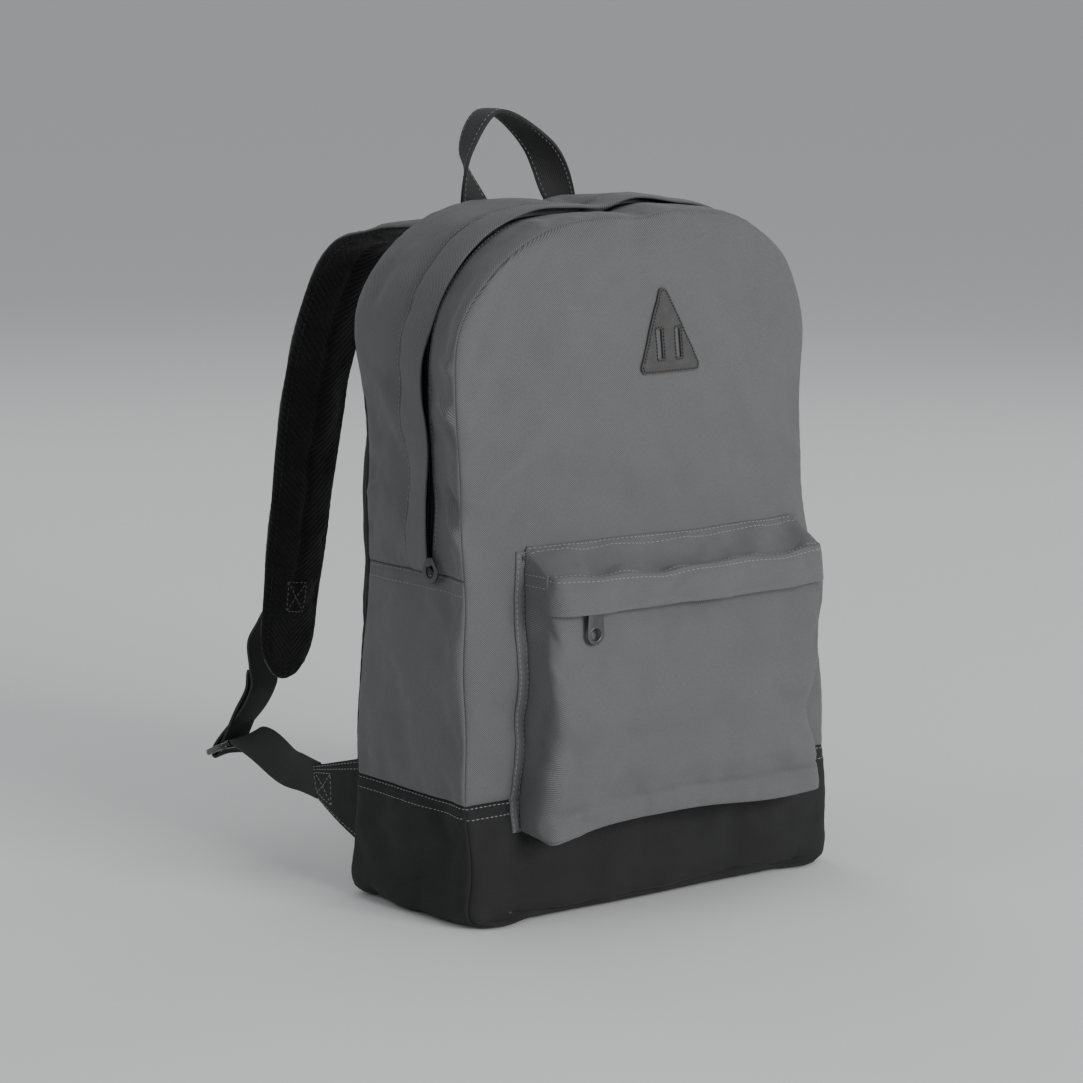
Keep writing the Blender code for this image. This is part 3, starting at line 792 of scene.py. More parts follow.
# ---- The bag's own cloth ----
BASE_LEFT, BASE_RIGHT = at_height(BASE_SEAM, -1), at_height(BASE_SEAM, 1)
SIDE_LEFT, SIDE_RIGHT = at_height(SIDE_SEAM, -1), at_height(SIDE_SEAM, 1)
SHOULDER = CORNER + SIDE + BEND * 0.5
DEPTH = BACK_Y - FRONT_Y
REAR_WIDTH = BACK_Y - ZIP_BACK
FOOT_X = HALF - FOOT_RADIUS
FLAP_LIFT = 0.0064
FLAP_REST_LIFT = 0.0030
FLAP_SEAM = FLAP_BACK - ZIP_BACK
FLAP_STITCH_GAP = 0.0028
FLAP_BOW = 0.0050


def side_sheet(name, side, start, stop, **options):
    first, last = (BACK_Y, FRONT_Y) if side < 0 else (FRONT_Y, BACK_Y)
    ends = rung(start, first, last), rung(stop, first, last)
    edges = run(start, stop, first), run(start, stop, last)
    return Sheet(name, *ends, *edges, size=(DEPTH, abs(stop - start)), **options)


def arch_sheet(name, near, far, far_edge, **options):
    """A strip over the arch between two depths, from one side seam to the other."""
    ends = rung(SIDE_LEFT, near, far), rung(SIDE_RIGHT, near, far)
    size = (SIDE_RIGHT - SIDE_LEFT, far - near)
    return Sheet(name, run(SIDE_LEFT, SIDE_RIGHT, near), far_edge, *ends, size=size, **options)


def face_sheet(name, y, low_left, low_right, facing, **options):
    """Front or back panel: an arched face from the outline point low_left up and over to low_right."""
    corner = TOTAL - SHOULDER
    x0, z0 = [float(v) for v in outline(low_left)[:2]]
    left, right = run(low_left, SHOULDER, y), run(low_right, corner, y)
    bottom, top = straight((x0, y, z0), (-x0, y, z0)), run(SHOULDER, corner, y)
    edges = (bottom, top, left, right) if facing < 0 else (reverse(bottom), reverse(top), right, left)
    return Sheet(name, *edges, size=(2 * HALF, TOP - z0), facing=facing, step=0.0036, **options)


def arch_place(t):
    """Arc length, height, and 1 on the left half, at t along the arch between the side seams."""
    s = SIDE_LEFT + (SIDE_RIGHT - SIDE_LEFT) * t
    return s, outline(s)[1], np.where(s < TOTAL / 2, 1.0, 0.0)


def gaping_edge(t):
    """The front strip's zip edge, pulled forward above the slider so that the zip shows."""
    s, z, left = arch_place(t)
    gape = left * (0.0046 * hump(z, 0.252, 0.020) - 0.0026 * hump(z, 0.322, 0.030))
    return body_point(s, GUSSET_EDGE - gape - 0.0004 * waves(s, 0, 0.03, 19))


def flap_bow(z, left):
    return left * FLAP_BOW * hump(z, 0.325, 0.034)


def flap_edge(t):
    """The storm flap's free edge: flat over the arch, lifted and drawn back above the slider."""
    s, z, left = arch_place(t)
    drawn = left * (0.0010 * (1 - ramp(z, 0.229, 0.252)) + 0.0005 * hump(z, 0.345, 0.018))
    lift = FLAP_REST_LIFT + left * (FLAP_LIFT - FLAP_REST_LIFT) * (1 - ramp(z, 0.345, 0.375))
    lift = lift + 0.0022 * hump(z, TOP, 0.02) + 0.0006 * waves(s, 0, 0.045, 43)
    overlap = 0.0040 + 0.0008 * waves(s, 0, 0.05, 41)
    y = FLAP_FRONT - overlap + drawn + flap_bow(z, left)
    return body_point(s, y, lift * ramp(inward(t), -0.004, 0.012))


def flap_seam_share(t):
    """Where the flap's seam lies across the rear strip: it bows back half-way up the left side."""
    s, z, left = arch_place(t)
    return (FLAP_SEAM + flap_bow(z, left) + 0.0007 * waves(s, 0, 0.08, 47)) / REAR_WIDTH


def flap_seam(t):
    points, normals = rear_gusset.read(t, flap_seam_share(t))
    return points + normals * 0.0001


def flap_groove(u, b):
    """The crease along the flap's seam and the shallow one along the stitching behind it."""
    seam = flap_seam_share(u) * REAR_WIDTH
    stitched = hump(b, seam + FLAP_STITCH_GAP, 0.0011)
    return -0.0014 * np.exp(-np.abs(b - seam) / VALLEY_WIDTH) - 0.00035 * stitched


def ends_between(first, second):
    """The two short ends of a sheet whose long sides are the lines first and second."""
    return [between(first(at)[0], second(at)[0]) for at in (np.array([0.0]), np.array([1.0]))]


def back_shape(u, v):
    """Padding: two soft columns with a shallow valley between them, kept level at the waist."""
    columns = hump(u, 0.27, 0.17) + hump(u, 0.73, 0.17)
    level = waist(v * TOP) * (1 - np.exp(-inward(u) * 2 * HALF / 0.0035))
    return level + 0.0045 * columns * ramp(v, 0.06, 0.25) * (1 - ramp(v, 0.80, 0.97))


def front_shape(u, v):
    """The face hangs a little hollow above the pocket and swells above that."""
    swelling = 0.003 * hump(v, 0.72, 0.2) * np.sin(math.pi * u) * (1 - ramp(v, 0.88, 1.0))
    return swelling - 0.002 * hump(u, 0.35, 0.2) * hump(v, 0.5, 0.1)


def foot_tuck(t):
    return 0.0055 * ramp(inward(t), 0.02, 0.12)


def foot_line(t):
    """The seam of the base front and the bottom, a little way under the bag."""
    return soften(join(-FOOT_X + 2 * FOOT_X * t, FRONT_Y + foot_tuck(t), 0))


def foot_round(u, v):
    """Keeps the base front upright above its tucked lower edge."""
    return foot_tuck(u) * (1 - v) * (1 - np.exp(-v * BASE_SEAM / 0.0050))


BASE_ROWS = (("n", 0.0015), ("n", 0.0075))
SIDE_ROWS = (("n", 0.0016), ("n", 0.0090))
front_panel = face_sheet(
    "front_panel", FRONT_Y, BASE_LEFT, BASE_RIGHT, -1.0,
    puff=0.0095, fullness=0.62, ease=0.006, shape=front_shape, ripple=0.0008,
    folds=(
        (0.000, 0.190, 0.050, 0.215, 0.0070, 0.0024),
        (0.000, 0.172, 0.042, 0.178, 0.0080, -0.0022),
        (0.284, 0.200, 0.235, 0.225, 0.0060, 0.0018),
        (0.040, 0.330, 0.130, 0.250, 0.0160, 0.0016),
        (0.250, 0.330, 0.190, 0.280, 0.0150, -0.0014),
    ),
)
base_front = Sheet(
    "base_front", foot_line, straight((-HALF, FRONT_Y, BASE_SEAM), (HALF, FRONT_Y, BASE_SEAM)),
    run(0, BASE_LEFT, FRONT_Y), run(TOTAL, BASE_RIGHT, FRONT_Y), size=(2 * HALF, BASE_SEAM),
    puff=0.004, rows=BASE_ROWS, shape=foot_round, seams="nwe",
)
base_left = side_sheet("base_side_left", -1, 0, BASE_LEFT, puff=0.004, rows=BASE_ROWS)
base_right = side_sheet("base_side_right", 1, TOTAL, BASE_RIGHT, puff=0.004, rows=BASE_ROWS)
bottom = Sheet(
    "bottom_panel", straight((-FOOT_X, BACK_Y, 0), (FOOT_X, BACK_Y, 0)), foot_line,
    *[straight((x, BACK_Y, 0), (x, FRONT_Y, 0)) for x in (-FOOT_X, FOOT_X)], size=(2 * FOOT_X, DEPTH),
    puff=0.0006, cap=0.0004, ripple=0.0001, valley=0.0009, pressure=0.0,
)
side_left = side_sheet(
    "side_panel_left", -1, BASE_LEFT, SIDE_LEFT, puff=0.003, rows=SIDE_ROWS,
    folds=((0.112, 0.09, 0.085, 0.12, 0.005, 0.0012),),
)
side_right = side_sheet("side_panel_right", 1, BASE_RIGHT, SIDE_RIGHT, puff=0.004, rows=SIDE_ROWS)
rear_gusset = arch_sheet(
    "rear_gusset", ZIP_BACK, BACK_Y, run(SIDE_LEFT, SIDE_RIGHT, BACK_Y),
    puff=0.0042, grooves=(flap_groove,), ease=0.008,
    folds=(
        (0.040, 0.066, 0.062, 0.044, 0.0040, 0.0024),
        (0.020, 0.069, 0.034, 0.050, 0.0030, -0.0014),
        (0.105, 0.069, 0.120, 0.040, 0.0060, 0.0016),
        (0.300, 0.014, 0.310, 0.060, 0.0070, 0.0018),
        (0.560, 0.069, 0.545, 0.040, 0.0045, 0.0024),
    ),
)
front_gusset = arch_sheet(
    "front_gusset", FRONT_Y, GUSSET_EDGE, gaping_edge,
    puff=0.0006, cap=0.0012, valley=0.0011, rows=(("n", 0.0022),), ripple=0.0005, seams="swe", step=0.0026,
    folds=(
        (0.018, -0.004, 0.044, 0.022, 0.0045, 0.0042),
        (0.036, -0.004, 0.056, 0.020, 0.0038, -0.0042),
        (0.092, -0.004, 0.112, 0.020, 0.0042, 0.0040),
        (0.078, -0.004, 0.098, 0.018, 0.0038, -0.0036),
        (0.124, -0.004, 0.132, 0.018, 0.0036, 0.0022),
        (0.160, 0.006, 0.172, 0.026, 0.0060, 0.0014),
        (0.230, 0.000, 0.236, 0.028, 0.0050, 0.0014),
        (0.520, 0.000, 0.530, 0.030, 0.0040, 0.0016),
        (0.600, 0.000, 0.590, 0.030, 0.0040, 0.0014),
    ),
)
back_panel = face_sheet(
    "back_panel", BACK_Y, 0.0, TOTAL, 1.0,
    puff=0.0085, fullness=0.40, shape=back_shape, cap=0.003, ripple=0.0007,
)
body_sheets = [
    front_panel, base_front, base_left, base_right, bottom, side_left, side_right,
    rear_gusset, front_gusset, back_panel,
]
simulate(body_sheets)
for sheet in body_sheets:
    sheet.finish()
storm_flap = Sheet(
    "storm_flap", flap_edge, flap_seam, *ends_between(flap_edge, flap_seam),
    size=(SIDE_RIGHT - SIDE_LEFT, 0.024), puff=0.0016, seams="nwe", step=0.0026, ripple=0.0003,
).finish()

front_nodes = ("front_panel_lower", "front_panel_upper")
place(front_panel.make(GREY, lining=LINING), "root", "grey_twill", *front_nodes, **MOUTH)
for sheet in (base_front, base_left, base_right, bottom):
    place(sheet.make(BLACK, lining=LINING), "root", "black_twill", sheet.name)
for sheet in (side_left, side_right, rear_gusset):
    place(sheet.make(GREY, lining=LINING), "root", "grey_twill", sheet.name)
place(front_gusset.make(GREY, lining=LINING), "root", "grey_twill", "front_gusset", **MOUTH)
place(storm_flap.make(GREY, 0.0014), "root", "grey_twill", "storm_flap")
place(back_panel.make(BLACK, lining=LINING), "root", "black_twill", "back_panel")


# ---- Zips: tapes, coils, sliders and pulls ----
TAPE_THICKNESS = 0.0006
TOOTH_PITCH = 0.0013
COIL_SIDES = 8


def coil(name, line, out_of, radius):
    """A zip's coil: a thick thread whose girth swells at each tooth."""
    steps = int(np.linalg.norm(np.diff(line, axis=0), axis=1).sum() / TOOTH_PITCH * 4)
    t = np.linspace(0, len(line) - 1, steps)
    places = np.arange(len(line))
    p = read_line(t, places, line)
    n = unit(read_line(t, places, out_of))
    side = unit(np.cross(n, unit(np.gradient(p, axis=0))))
    girth = radius * (0.78 + 0.32 * np.sin(np.arange(steps) * math.pi / 2))
    angles = np.linspace(0, 2 * math.pi, COIL_SIDES, endpoint=False)
    around = np.cos(angles)[None, :, None] * side[:, None] + np.sin(angles)[None, :, None] * n[:, None]
    first, last = range(COIL_SIDES), range((steps - 1) * COIL_SIDES, steps * COIL_SIDES)
    faces = tube_faces(steps, COIL_SIDES) + [tuple(first), tuple(last)[::-1]]
    return mesh_object(name, p[:, None] + around * girth[:, None, None], faces, COIL)


def zip_half(zip_name, half, p, coords, teeth, motion):
    """One tape of a zip, with its coil: teeth holds the coil's line, outward vectors and radius."""
    node = zip_name + "_zip_" + half
    place(sheet_object(node, p, coords, TAPE, TAPE_THICKNESS), "root", "zip_tape", node, **motion)
    place(coil(zip_name + "_coil_" + half, *teeth), "root", "zip_tape", **motion)


def main_zip():
    t, fine = np.linspace(0, 1, 260), np.linspace(0, 1, 700)
    for half, near, far, side, motion in (
        ("front", GUSSET_EDGE - 0.0095, ZIP_MIDDLE, -1, MOUTH),
        ("rear", ZIP_MIDDLE, ZIP_BACK + 0.004, 1, {}),
    ):
        depths = np.linspace(near, far, 5)
        p = np.stack([run(SIDE_LEFT, SIDE_RIGHT, y, -0.0006)(t) for y in depths], 1)
        coords = join(*grid(t * (SIDE_RIGHT - SIDE_LEFT), depths - near))
        y = ZIP_MIDDLE + side * 0.0010
        line, outer = [run(SIDE_LEFT, SIDE_RIGHT, y, out)(fine) for out in (0.0004, 0.0054)]
        zip_half("main", half, p, coords, (line, outer - line, 0.0013), motion)


def rounded_box(name, centre, size, radius, material):
    half = np.array(size) / 2
    corners = [(x, y, z) for x in (-1, 1) for y in (-1, 1) for z in (-1, 1)]
    faces = [(0, 1, 3, 2), (4, 6, 7, 5), (0, 4, 5, 1), (2, 3, 7, 6), (0, 2, 6, 4), (1, 5, 7, 3)]
    obj = mesh_object(name, np.array(corners) * half, faces, material)
    obj.location = centre
    bevel = obj.modifiers.new("round", "BEVEL")
    bevel.width = radius
    bevel.segments = 3
    bevel.limit_method = "NONE"
    obj.modifiers.new("shade", "WEIGHTED_NORMAL")
    return obj


def flat_plate(name, outlines, thickness, round_off, material, resolution=3):
    """A plate cut from 2D outlines, the first solid and the rest holes, lying in its own XY plane."""
    curve = bpy.data.curves.new(name, "CURVE")
    curve.dimensions = "2D"
    curve.fill_mode = "BOTH"
    curve.extrude = max(thickness / 2 - round_off, 0.00001)
    curve.bevel_depth = round_off
    curve.offset = -round_off
    curve.bevel_resolution = resolution
    for points in outlines:
        spline = curve.splines.new("POLY")
        spline.points.add(len(points) - 1)
        for knot, (x, y) in zip(spline.points, points):
            knot.co = (x, y, 0, 1)
        spline.use_cyclic_u = True
    holder = link(bpy.data.objects.new(name + "_outline", curve))
    mesh = bpy.data.meshes.new_from_object(holder)
    bpy.data.objects.remove(holder)
    mesh.materials.clear()
    mesh.materials.append(material)
    mesh.shade_smooth()
    obj = link(bpy.data.objects.new(name, mesh))
    obj.modifiers.new("weld", "WELD").merge_threshold = 0.00001
    obj.modifiers.new("shade", "WEIGHTED_NORMAL").keep_sharp = True
    return obj


def circle(x, y, radius, start=0, stop=360, steps=32):
    angles = np.radians(np.linspace(start, stop, steps, endpoint=stop - start < 360))
    return [(x + radius * math.cos(a), y + radius * math.sin(a)) for a in angles]


def ring(name, centre, radius, tube):
    """A round ring lying in its own XY plane."""
    around, thick = 40, 10
    a, b = grid(*[np.linspace(0, 2 * math.pi, count, endpoint=False) for count in (around, thick)])
    reach = radius + tube * np.cos(b)
    verts = join(reach * np.cos(a), reach * np.sin(a), tube * np.sin(b)) + np.array(centre)
    return mesh_object(name, verts, tube_faces(around, thick, closed=True), METAL)


def pull_tab(top_half, end_half, length, thickness):
    """A tongue with a round hole and a raised rim round it, hanging along its own -Y."""
    low = -(length - end_half)
    tongue = circle(0, low, end_half, -180, 0) + [(top_half, 0.0), (-top_half, 0.0)]
    hole = circle(0, low, end_half * 0.55)
    rib_size = (top_half * 0.9, -low * 0.42, thickness * 1.25)
    return [
        flat_plate("pull", [tongue, hole], thickness, thickness * 0.35, METAL),
        ring("pull_rim", (0, low, 0), end_half * 0.66, thickness * 0.62),
        rounded_box("pull_rib", (0, low * 0.42, 0), rib_size, 0.0002, METAL),
    ]


def gather(name, parts, matrix):
    """Joins parts, modifiers applied, into one mesh placed by the matrix."""
    bpy.context.view_layer.update()
    depsgraph = bpy.context.evaluated_depsgraph_get()
    verts, faces, materials, picks = [], [], [], []
    for part in parts:
        evaluated = part.evaluated_get(depsgraph)
        mesh = evaluated.to_mesh()
        world = matrix @ part.matrix_world
        start = len(verts)
        verts += [tuple(world @ v.co) for v in mesh.vertices]
        material = part.data.materials[0]
        if material not in materials:
            materials.append(material)
        for polygon in mesh.polygons:
            faces.append(tuple(i + start for i in polygon.vertices))
            picks.append(materials.index(material))
        evaluated.to_mesh_clear()
    for part in parts:
        bpy.data.objects.remove(part)
    obj = mesh_object(name, verts, faces, materials[0])
    for material in materials[1:]:
        obj.data.materials.append(material)
    obj.data.polygons.foreach_set("material_index", picks)
    obj.modifiers.new("crease", "EDGE_SPLIT").split_angle = math.radians(42)
    return obj


SLIDER_OUTLINE = (
    (-0.5, 0.12), (-0.40, -0.5), (0.40, -0.5), (0.5, 0.12), (0.42, 0.46), (0.1, 0.5), (0, 0.38),
    (-0.1, 0.5), (-0.42, 0.46),
)


def slider_body(width, length, height):
    """A zip slider seen from its top: two heart-shaped plates with a spine between them."""
    heart = [(x * width, y * length) for x, y in SLIDER_OUTLINE]
    parts = []
    for thickness, round_off, at in ((0.45, 0.14, 0.28), (0.3, 0.1, -0.35)):
        parts.append(flat_plate("slider", [heart], height * thickness, height * round_off, METAL))
        parts[-1].location = (0, 0, height * at)
    spine_size = (width * 0.2, length * 0.3, height * 0.6)
    return parts + [rounded_box("slider_spine", (0, length * 0.2, 0), spine_size, 0.0002, METAL)]


def frame_matrix(origin, x_axis, y_axis):
    """A matrix that puts own X and Y along the given directions."""
    x, y = Vector(x_axis).normalized(), Vector(y_axis).normalized()
    matrix = Matrix((x, y, x.cross(y))).transposed().to_4x4()
    matrix.translation = Vector(origin)
    return matrix


def metal_piece(name, body, parts, where):
    place(gather(name, parts, where), body, "zip_metal", body)


def main_slider():
    low, high = box("main_slider")
    width, depth, height = high - low
    middle = (low + high) / 2 - np.array([0.0003, 0, 0])
    where = frame_matrix(middle, (0, -1, 0), (0, 0, 1))
    metal_piece("main_slider_body", "main_slider", slider_body(depth, height, width), where)
    low, high = box("main_pull")
    pull = pull_tab(0.0036, (high[1] - low[1]) / 2 + 0.0022, (high[2] - low[2]) * 0.70, 0.0017)
    hook = (low[0] - 0.0022, (low[1] + high[1]) / 2, high[2])
    metal_piece("main_pull_tab", "main_pull", pull, frame_matrix(hook, (0, -0.99, 0.14), (0, 0.14, 0.99)))


main_zip()
main_slider()


# ---- Pocket ----
FLANGE = 0.0078
POCKET_EDGE = 0.0065
SEWN_ON = 0.0012
RIM_BEND = 0.0070
RIM_WALL = 0.030
RIM_QUARTER = math.pi / 2 * RIM_BEND
RIM_FACE = 2 * (POCKET_HALF - RIM_BEND)
RIM = 2 * (RIM_WALL + RIM_QUARTER) + RIM_FACE
RIM_CORNER = RIM_WALL + RIM_QUARTER / 2
LID_WRAP = RIM_WALL - 0.0060
BAND_END = LID_WRAP + 0.004
BAND_COLUMNS = 26
EDGE_HEIGHTS = (0.058, 0.070, 0.082, 0.095, 0.110, 0.127, 0.145, 0.163, 0.183, 0.210, 0.235)
EDGE_SHIFTS = (0.0078, 0.0068, 0.0040, 0.0008, -0.0028, -0.0050, -0.0036, -0.0008, 0.0018, 0.0030, 0.0016)


class Depth:
    """Reads the y of finished faces at any x and z."""

    def __init__(self, *faces):
        self.marks = np.concatenate([face.points.reshape(-1, 3) for face in faces])

    def __call__(self, x, z):
        x, z = np.broadcast_arrays(np.asarray(x, float), np.asarray(z, float))
        found = np.empty(x.size)
        for i, (px, pz) in enumerate(zip(x.ravel(), z.ravel())):
            far = (self.marks[:, 0] - px) ** 2 + (self.marks[:, 2] - pz) ** 2
            near = np.argpartition(far, 5)[:5]
            weight = 1 / (far[near] + 1e-8)
            found[i] = (self.marks[near, 1] * weight).sum() / weight.sum()
        return found.reshape(x.shape)


front_depth = Depth(front_panel, base_front)
back_depth = Depth(back_panel)


def pocket_warp(p):
    """The pocket hangs a little askew: pinched half-way up on the right, flared at its foot."""
    x, z = p[..., 0].copy(), p[..., 2].copy()
    right = np.clip(x / POCKET_HALF, 0.0, 1.1)
    left = np.clip(-x / POCKET_HALF, 0.0, 1.1)
    p[..., 0] += right * np.interp(z, EDGE_HEIGHTS, EDGE_SHIFTS)
    p[..., 0] += left * 0.0015 * hump(z, 0.12, 0.05)
    return p


def on_front(x, z, out):
    """Warped pocket points that lie a little in front of the front panel."""
    p = pocket_warp(join(x, 0.0, z))
    p[:, 1] = front_depth(p[:, 0], p[:, 2]) - out
    return p


def wrap_plan(t):
    """The pocket's plan: left wall, rounded edge, front, rounded edge, right wall. Depth 0 is the root."""
    wall = 0.92 * (POCKET_ROOT - POCKET_FACE) - POCKET_EDGE
    bend = math.pi / 2 * POCKET_EDGE
    face = 2 * (POCKET_HALF - POCKET_EDGE)
    total = 2 * wall + 2 * bend + face
    s = np.asarray(t) * total
    m = np.minimum(s, total - s)
    a = np.clip(m - wall, 0, bend) / POCKET_EDGE
    x = -POCKET_HALF + POCKET_EDGE * (1 - np.cos(a)) + np.clip(m - wall - bend, 0, face / 2)
    share = np.clip(m, 0, wall) / wall
    return np.where(s > total / 2, -x, x), share, POCKET_EDGE * (1 - np.sin(a)), total


def wrap_line(height, seed):
    """A line round the pocket, at a height that depends on x and on how far it is from the root."""
    def line(t):
        x, share, edge, _ = wrap_plan(t)
        z = height(x, share)
        root = front_depth(x, z) - 0.0004
        y = root + (POCKET_FACE + edge - root) * share
        wobble = 0.0009 * waves(x, y, 0.045, seed)
        y = y + 0.0022 * (1 - ramp(z, 0.06, 0.09)) * share
        return pocket_warp(join(x, y, z + wobble * share))

    return line


def wrap_end(at):
    """The pocket's sewn edge: left at 0, right at 1."""
    def line(t):
        z = POCKET_FLOOR + (POCKET_TOP_SEAM - POCKET_FLOOR) * t
        return wrap_line(lambda x, share: z, 85)(0 * t + at)

    return line


def wrap_top(x, share):
    """Upper edge: the roof's end on the walls, the zip's foot across the front."""
    wall = POCKET_TOP + (LID_TOP - POCKET_TOP) * share - 0.0012
    across = ramp(np.abs(x), POCKET_HALF - 0.0045, POCKET_HALF - 0.0005)
    return POCKET_MOUTH + (wall - POCKET_MOUTH) * across


def wrap_foot(x, share):
    """Lower edge: lowest on the left, with a soft wave there."""
    rise = 0.0095 * ramp(x, -POCKET_HALF, -0.030) + 0.0014 * np.sin(x * 62 + 0.6) * ramp(x, -0.09, -0.05)
    return POCKET_FLOOR - 0.0016 + rise - 0.0015 * hump(x, -POCKET_HALF, 0.012) * share


def wrap_shape(u, v):
    """A belly low on the pocket and two shallow upright dents."""
    belly = 0.0042 * hump(v, 0.36, 0.30) * ramp(inward(u), 0.10, 0.35)
    dent = -0.0016 * hump(u, 0.78, 0.06) * hump(v, 0.55, 0.3)
    dent = dent - 0.0014 * hump(u, 0.30, 0.05) * hump(v, 0.30, 0.3)
    return (belly + dent) * ramp(inward(v), 0.0, 0.24)


def rim(s, out=0.0):
    """The pocket's upper rim: up the left wall's slope, round the front edge and back on the right."""
    m = np.minimum(s, RIM - s)
    a = np.clip(m - RIM_WALL, 0, RIM_QUARTER) / RIM_BEND
    radius = RIM_BEND + out
    along = np.clip(m - RIM_WALL - RIM_QUARTER, 0, RIM_FACE / 2)
    x = (-POCKET_HALF + RIM_BEND - radius * np.cos(a) + along) * np.where(s > RIM / 2, -1.0, 1.0)
    share = np.clip(m / RIM_WALL, 0, 1)
    root = front_depth(-POCKET_HALF, POCKET_TOP) - 0.0006
    y = root + (POCKET_EAVE + RIM_BEND - root) * share - radius * np.sin(a)
    z = POCKET_TOP + (LID_TOP + 0.0004 - POCKET_TOP) * share ** 0.8
    face = ramp(along, 0.0, 0.030)
    y = y - face * (0.0010 + 0.0014 * waves(x, 0, 0.06, 63))
    z = z - face * (0.0020 + 0.0014 * waves(x, 0, 0.07, 61) + 0.0024 * hump(x, -0.022, 0.016))
    return pocket_warp(join(x, y, z))


def rim_part(start, stop):
    return lambda t: rim(start + (stop - start) * t)


def roof_back(t):
    """The roof's seam on the front panel, meeting the rim at both ends."""
    x = -POCKET_HALF + 2 * POCKET_HALF * t
    p = on_front(x, POCKET_TOP + 0.0008 * waves(x, 0, 0.08, 67), 0.0006)
    fade = (1 - ramp(inward(t), 0.0, 0.05))[:, None]
    return p * (1 - fade) + between(*rim(np.array([0.0, RIM])))(t) * fade


def roof_shape(u, v):
    return np.sin(math.pi * v) * (0.0012 * np.sin(u * 26) - 0.0045 * np.sin(math.pi * u))


def lid_foot(t):
    """The lid's lower edge, hanging a little out from the rim above it."""
    p = rim(LID_WRAP + (RIM - 2 * LID_WRAP) * t, 0.0006)
    p[:, 2] = LID_FOOT + 0.0010 * waves(p[:, 0], 0, 0.09, 71)
    p[:, 1] -= ramp(inward(t), 0.03, 0.10) * (0.0026 + 0.0006 * waves(p[:, 0], 0, 0.07, 73))
    return p


def floor_back(t):
    x = -POCKET_HALF + 2 * POCKET_HALF * t
    z = POCKET_FLOOR + 0.0025
    return join(x, front_depth(x, z) - 0.0004, z)


def floor_front(t):
    return wrap_line(wrap_foot, 81)(0.105 + 0.790 * t)


def flange(name, side):
    """The pocket's turned-out allowance, sewn flat to the front panel."""
    first, last = sorted((side * POCKET_HALF, side * (POCKET_HALF + FLANGE)))
    height = POCKET_TOP_SEAM - POCKET_FLOOR

    def upright(x):
        def line(t):
            z = POCKET_FLOOR + height * t
            return on_front(x + 0.0006 * waves(z, 0, 0.06, 79), z, SEWN_ON)

        return line

    def level(z):
        return lambda t: on_front(first + (last - first) * t, z, SEWN_ON)

    return Sheet(
        name, level(POCKET_FLOOR), level(POCKET_TOP_SEAM), upright(first), upright(last), (FLANGE, height),
        puff=0.0004, rows=(("w", 0.0014), ("e", 0.0016)), seams="", cap=0.0002, ripple=0.0001,
    )


def band(side):
    """The lid's band carried back along the side wall, from the lid's end to the flange."""
    s = np.linspace(0.0, BAND_END, BAND_COLUMNS)
    top = rim(s if side < 0 else (RIM - s)[::-1])
    rows = []
    for t in np.linspace(0, 1, 16):
        p = top.copy()
        p[:, 2] = LID_FOOT + 0.0004 + (top[:, 2] - LID_FOOT) * t
        swell = 0.0010 + 0.0008 * math.sin(math.pi * t) + 0.0007 * waves(p[:, 1], p[:, 2], 0.03, 75)
        p[:, 0] += side * swell * (1 - 0.8 * ramp(t, 0.9, 1.0))
        rows.append(p)
    return np.stack(rows, 1), join(*grid(s, np.linspace(0, 0.026, 16)))


def band_row(p, height):
    """A level line across a band at a height, as points and normals."""
    points = [read_line(height, column[:, 2], column) for column in p]
    normals = [read_line(height, column[:, 2], facing) for column, facing in zip(p, grid_normals(p))]
    at, places = np.linspace(0, BAND_COLUMNS - 1, 60), np.arange(BAND_COLUMNS)
    return read_line(at, places, points), read_line(at, places, unit(np.array(normals)))


pocket_wrap = Sheet(
    "pocket_front", wrap_line(wrap_foot, 81), wrap_line(wrap_top, 83), wrap_end(0), wrap_end(1),
    size=(wrap_plan(0.5)[3], 0.150), puff=0.0020, shape=wrap_shape, valley=0.0009, cap=0.002, ease=0.008,
    folds=(
        (0.045, 0.012, 0.085, 0.050, 0.0060, 0.0016),
        (0.238, 0.012, 0.205, 0.050, 0.0070, 0.0018),
        (0.240, 0.070, 0.205, 0.085, 0.0060, 0.0014),
        (0.050, 0.128, 0.085, 0.100, 0.0060, 0.0012),
        (0.010, 0.020, 0.030, 0.100, 0.0050, -0.0016),
        (0.150, 0.004, 0.155, 0.030, 0.0060, 0.0012),
        (0.110, 0.004, 0.100, 0.026, 0.0050, 0.0010),
    ),
)
pocket_floor = Sheet(
    "pocket_gusset", floor_back, floor_front, *ends_between(floor_back, floor_front),
    size=(2 * POCKET_HALF, 0.036), puff=0.001, cap=0.001,
)
pocket_roof = Sheet(
    "pocket_roof", rim_part(RIM_CORNER, RIM - RIM_CORNER), roof_back,
    rim_part(RIM_CORNER, 0), rim_part(RIM - RIM_CORNER, RIM), size=(2 * POCKET_HALF, 0.041),
    shape=roof_shape, seams="n", valley=0.0007, cap=0.002, ease=0.01,
    rounded=(("s", 0.0014, 0.0040), ("w", 0.0012, 0.0040), ("e", 0.0012, 0.0040)),
    rows=(("s", 0.0036), ("n", 0.0014), ("n", 0.0056)),
    folds=((0.018, 0.004, 0.030, 0.032, 0.0035, 0.0018), (0.110, 0.002, 0.104, 0.020, 0.0050, -0.0016)),
)
lid_top = rim_part(LID_WRAP, RIM - LID_WRAP)
pocket_lid = Sheet(
    "pocket_flap", lid_foot, lid_top, *ends_between(lid_foot, lid_top), size=(RIM - 2 * LID_WRAP, 0.0235),
    puff=0.0010, seams="", cap=0.0012, step=0.0026, ripple=0.0004, rows=(("n", 0.0032),),
    rounded=(("n", 0.0016, 0.0040),),
)
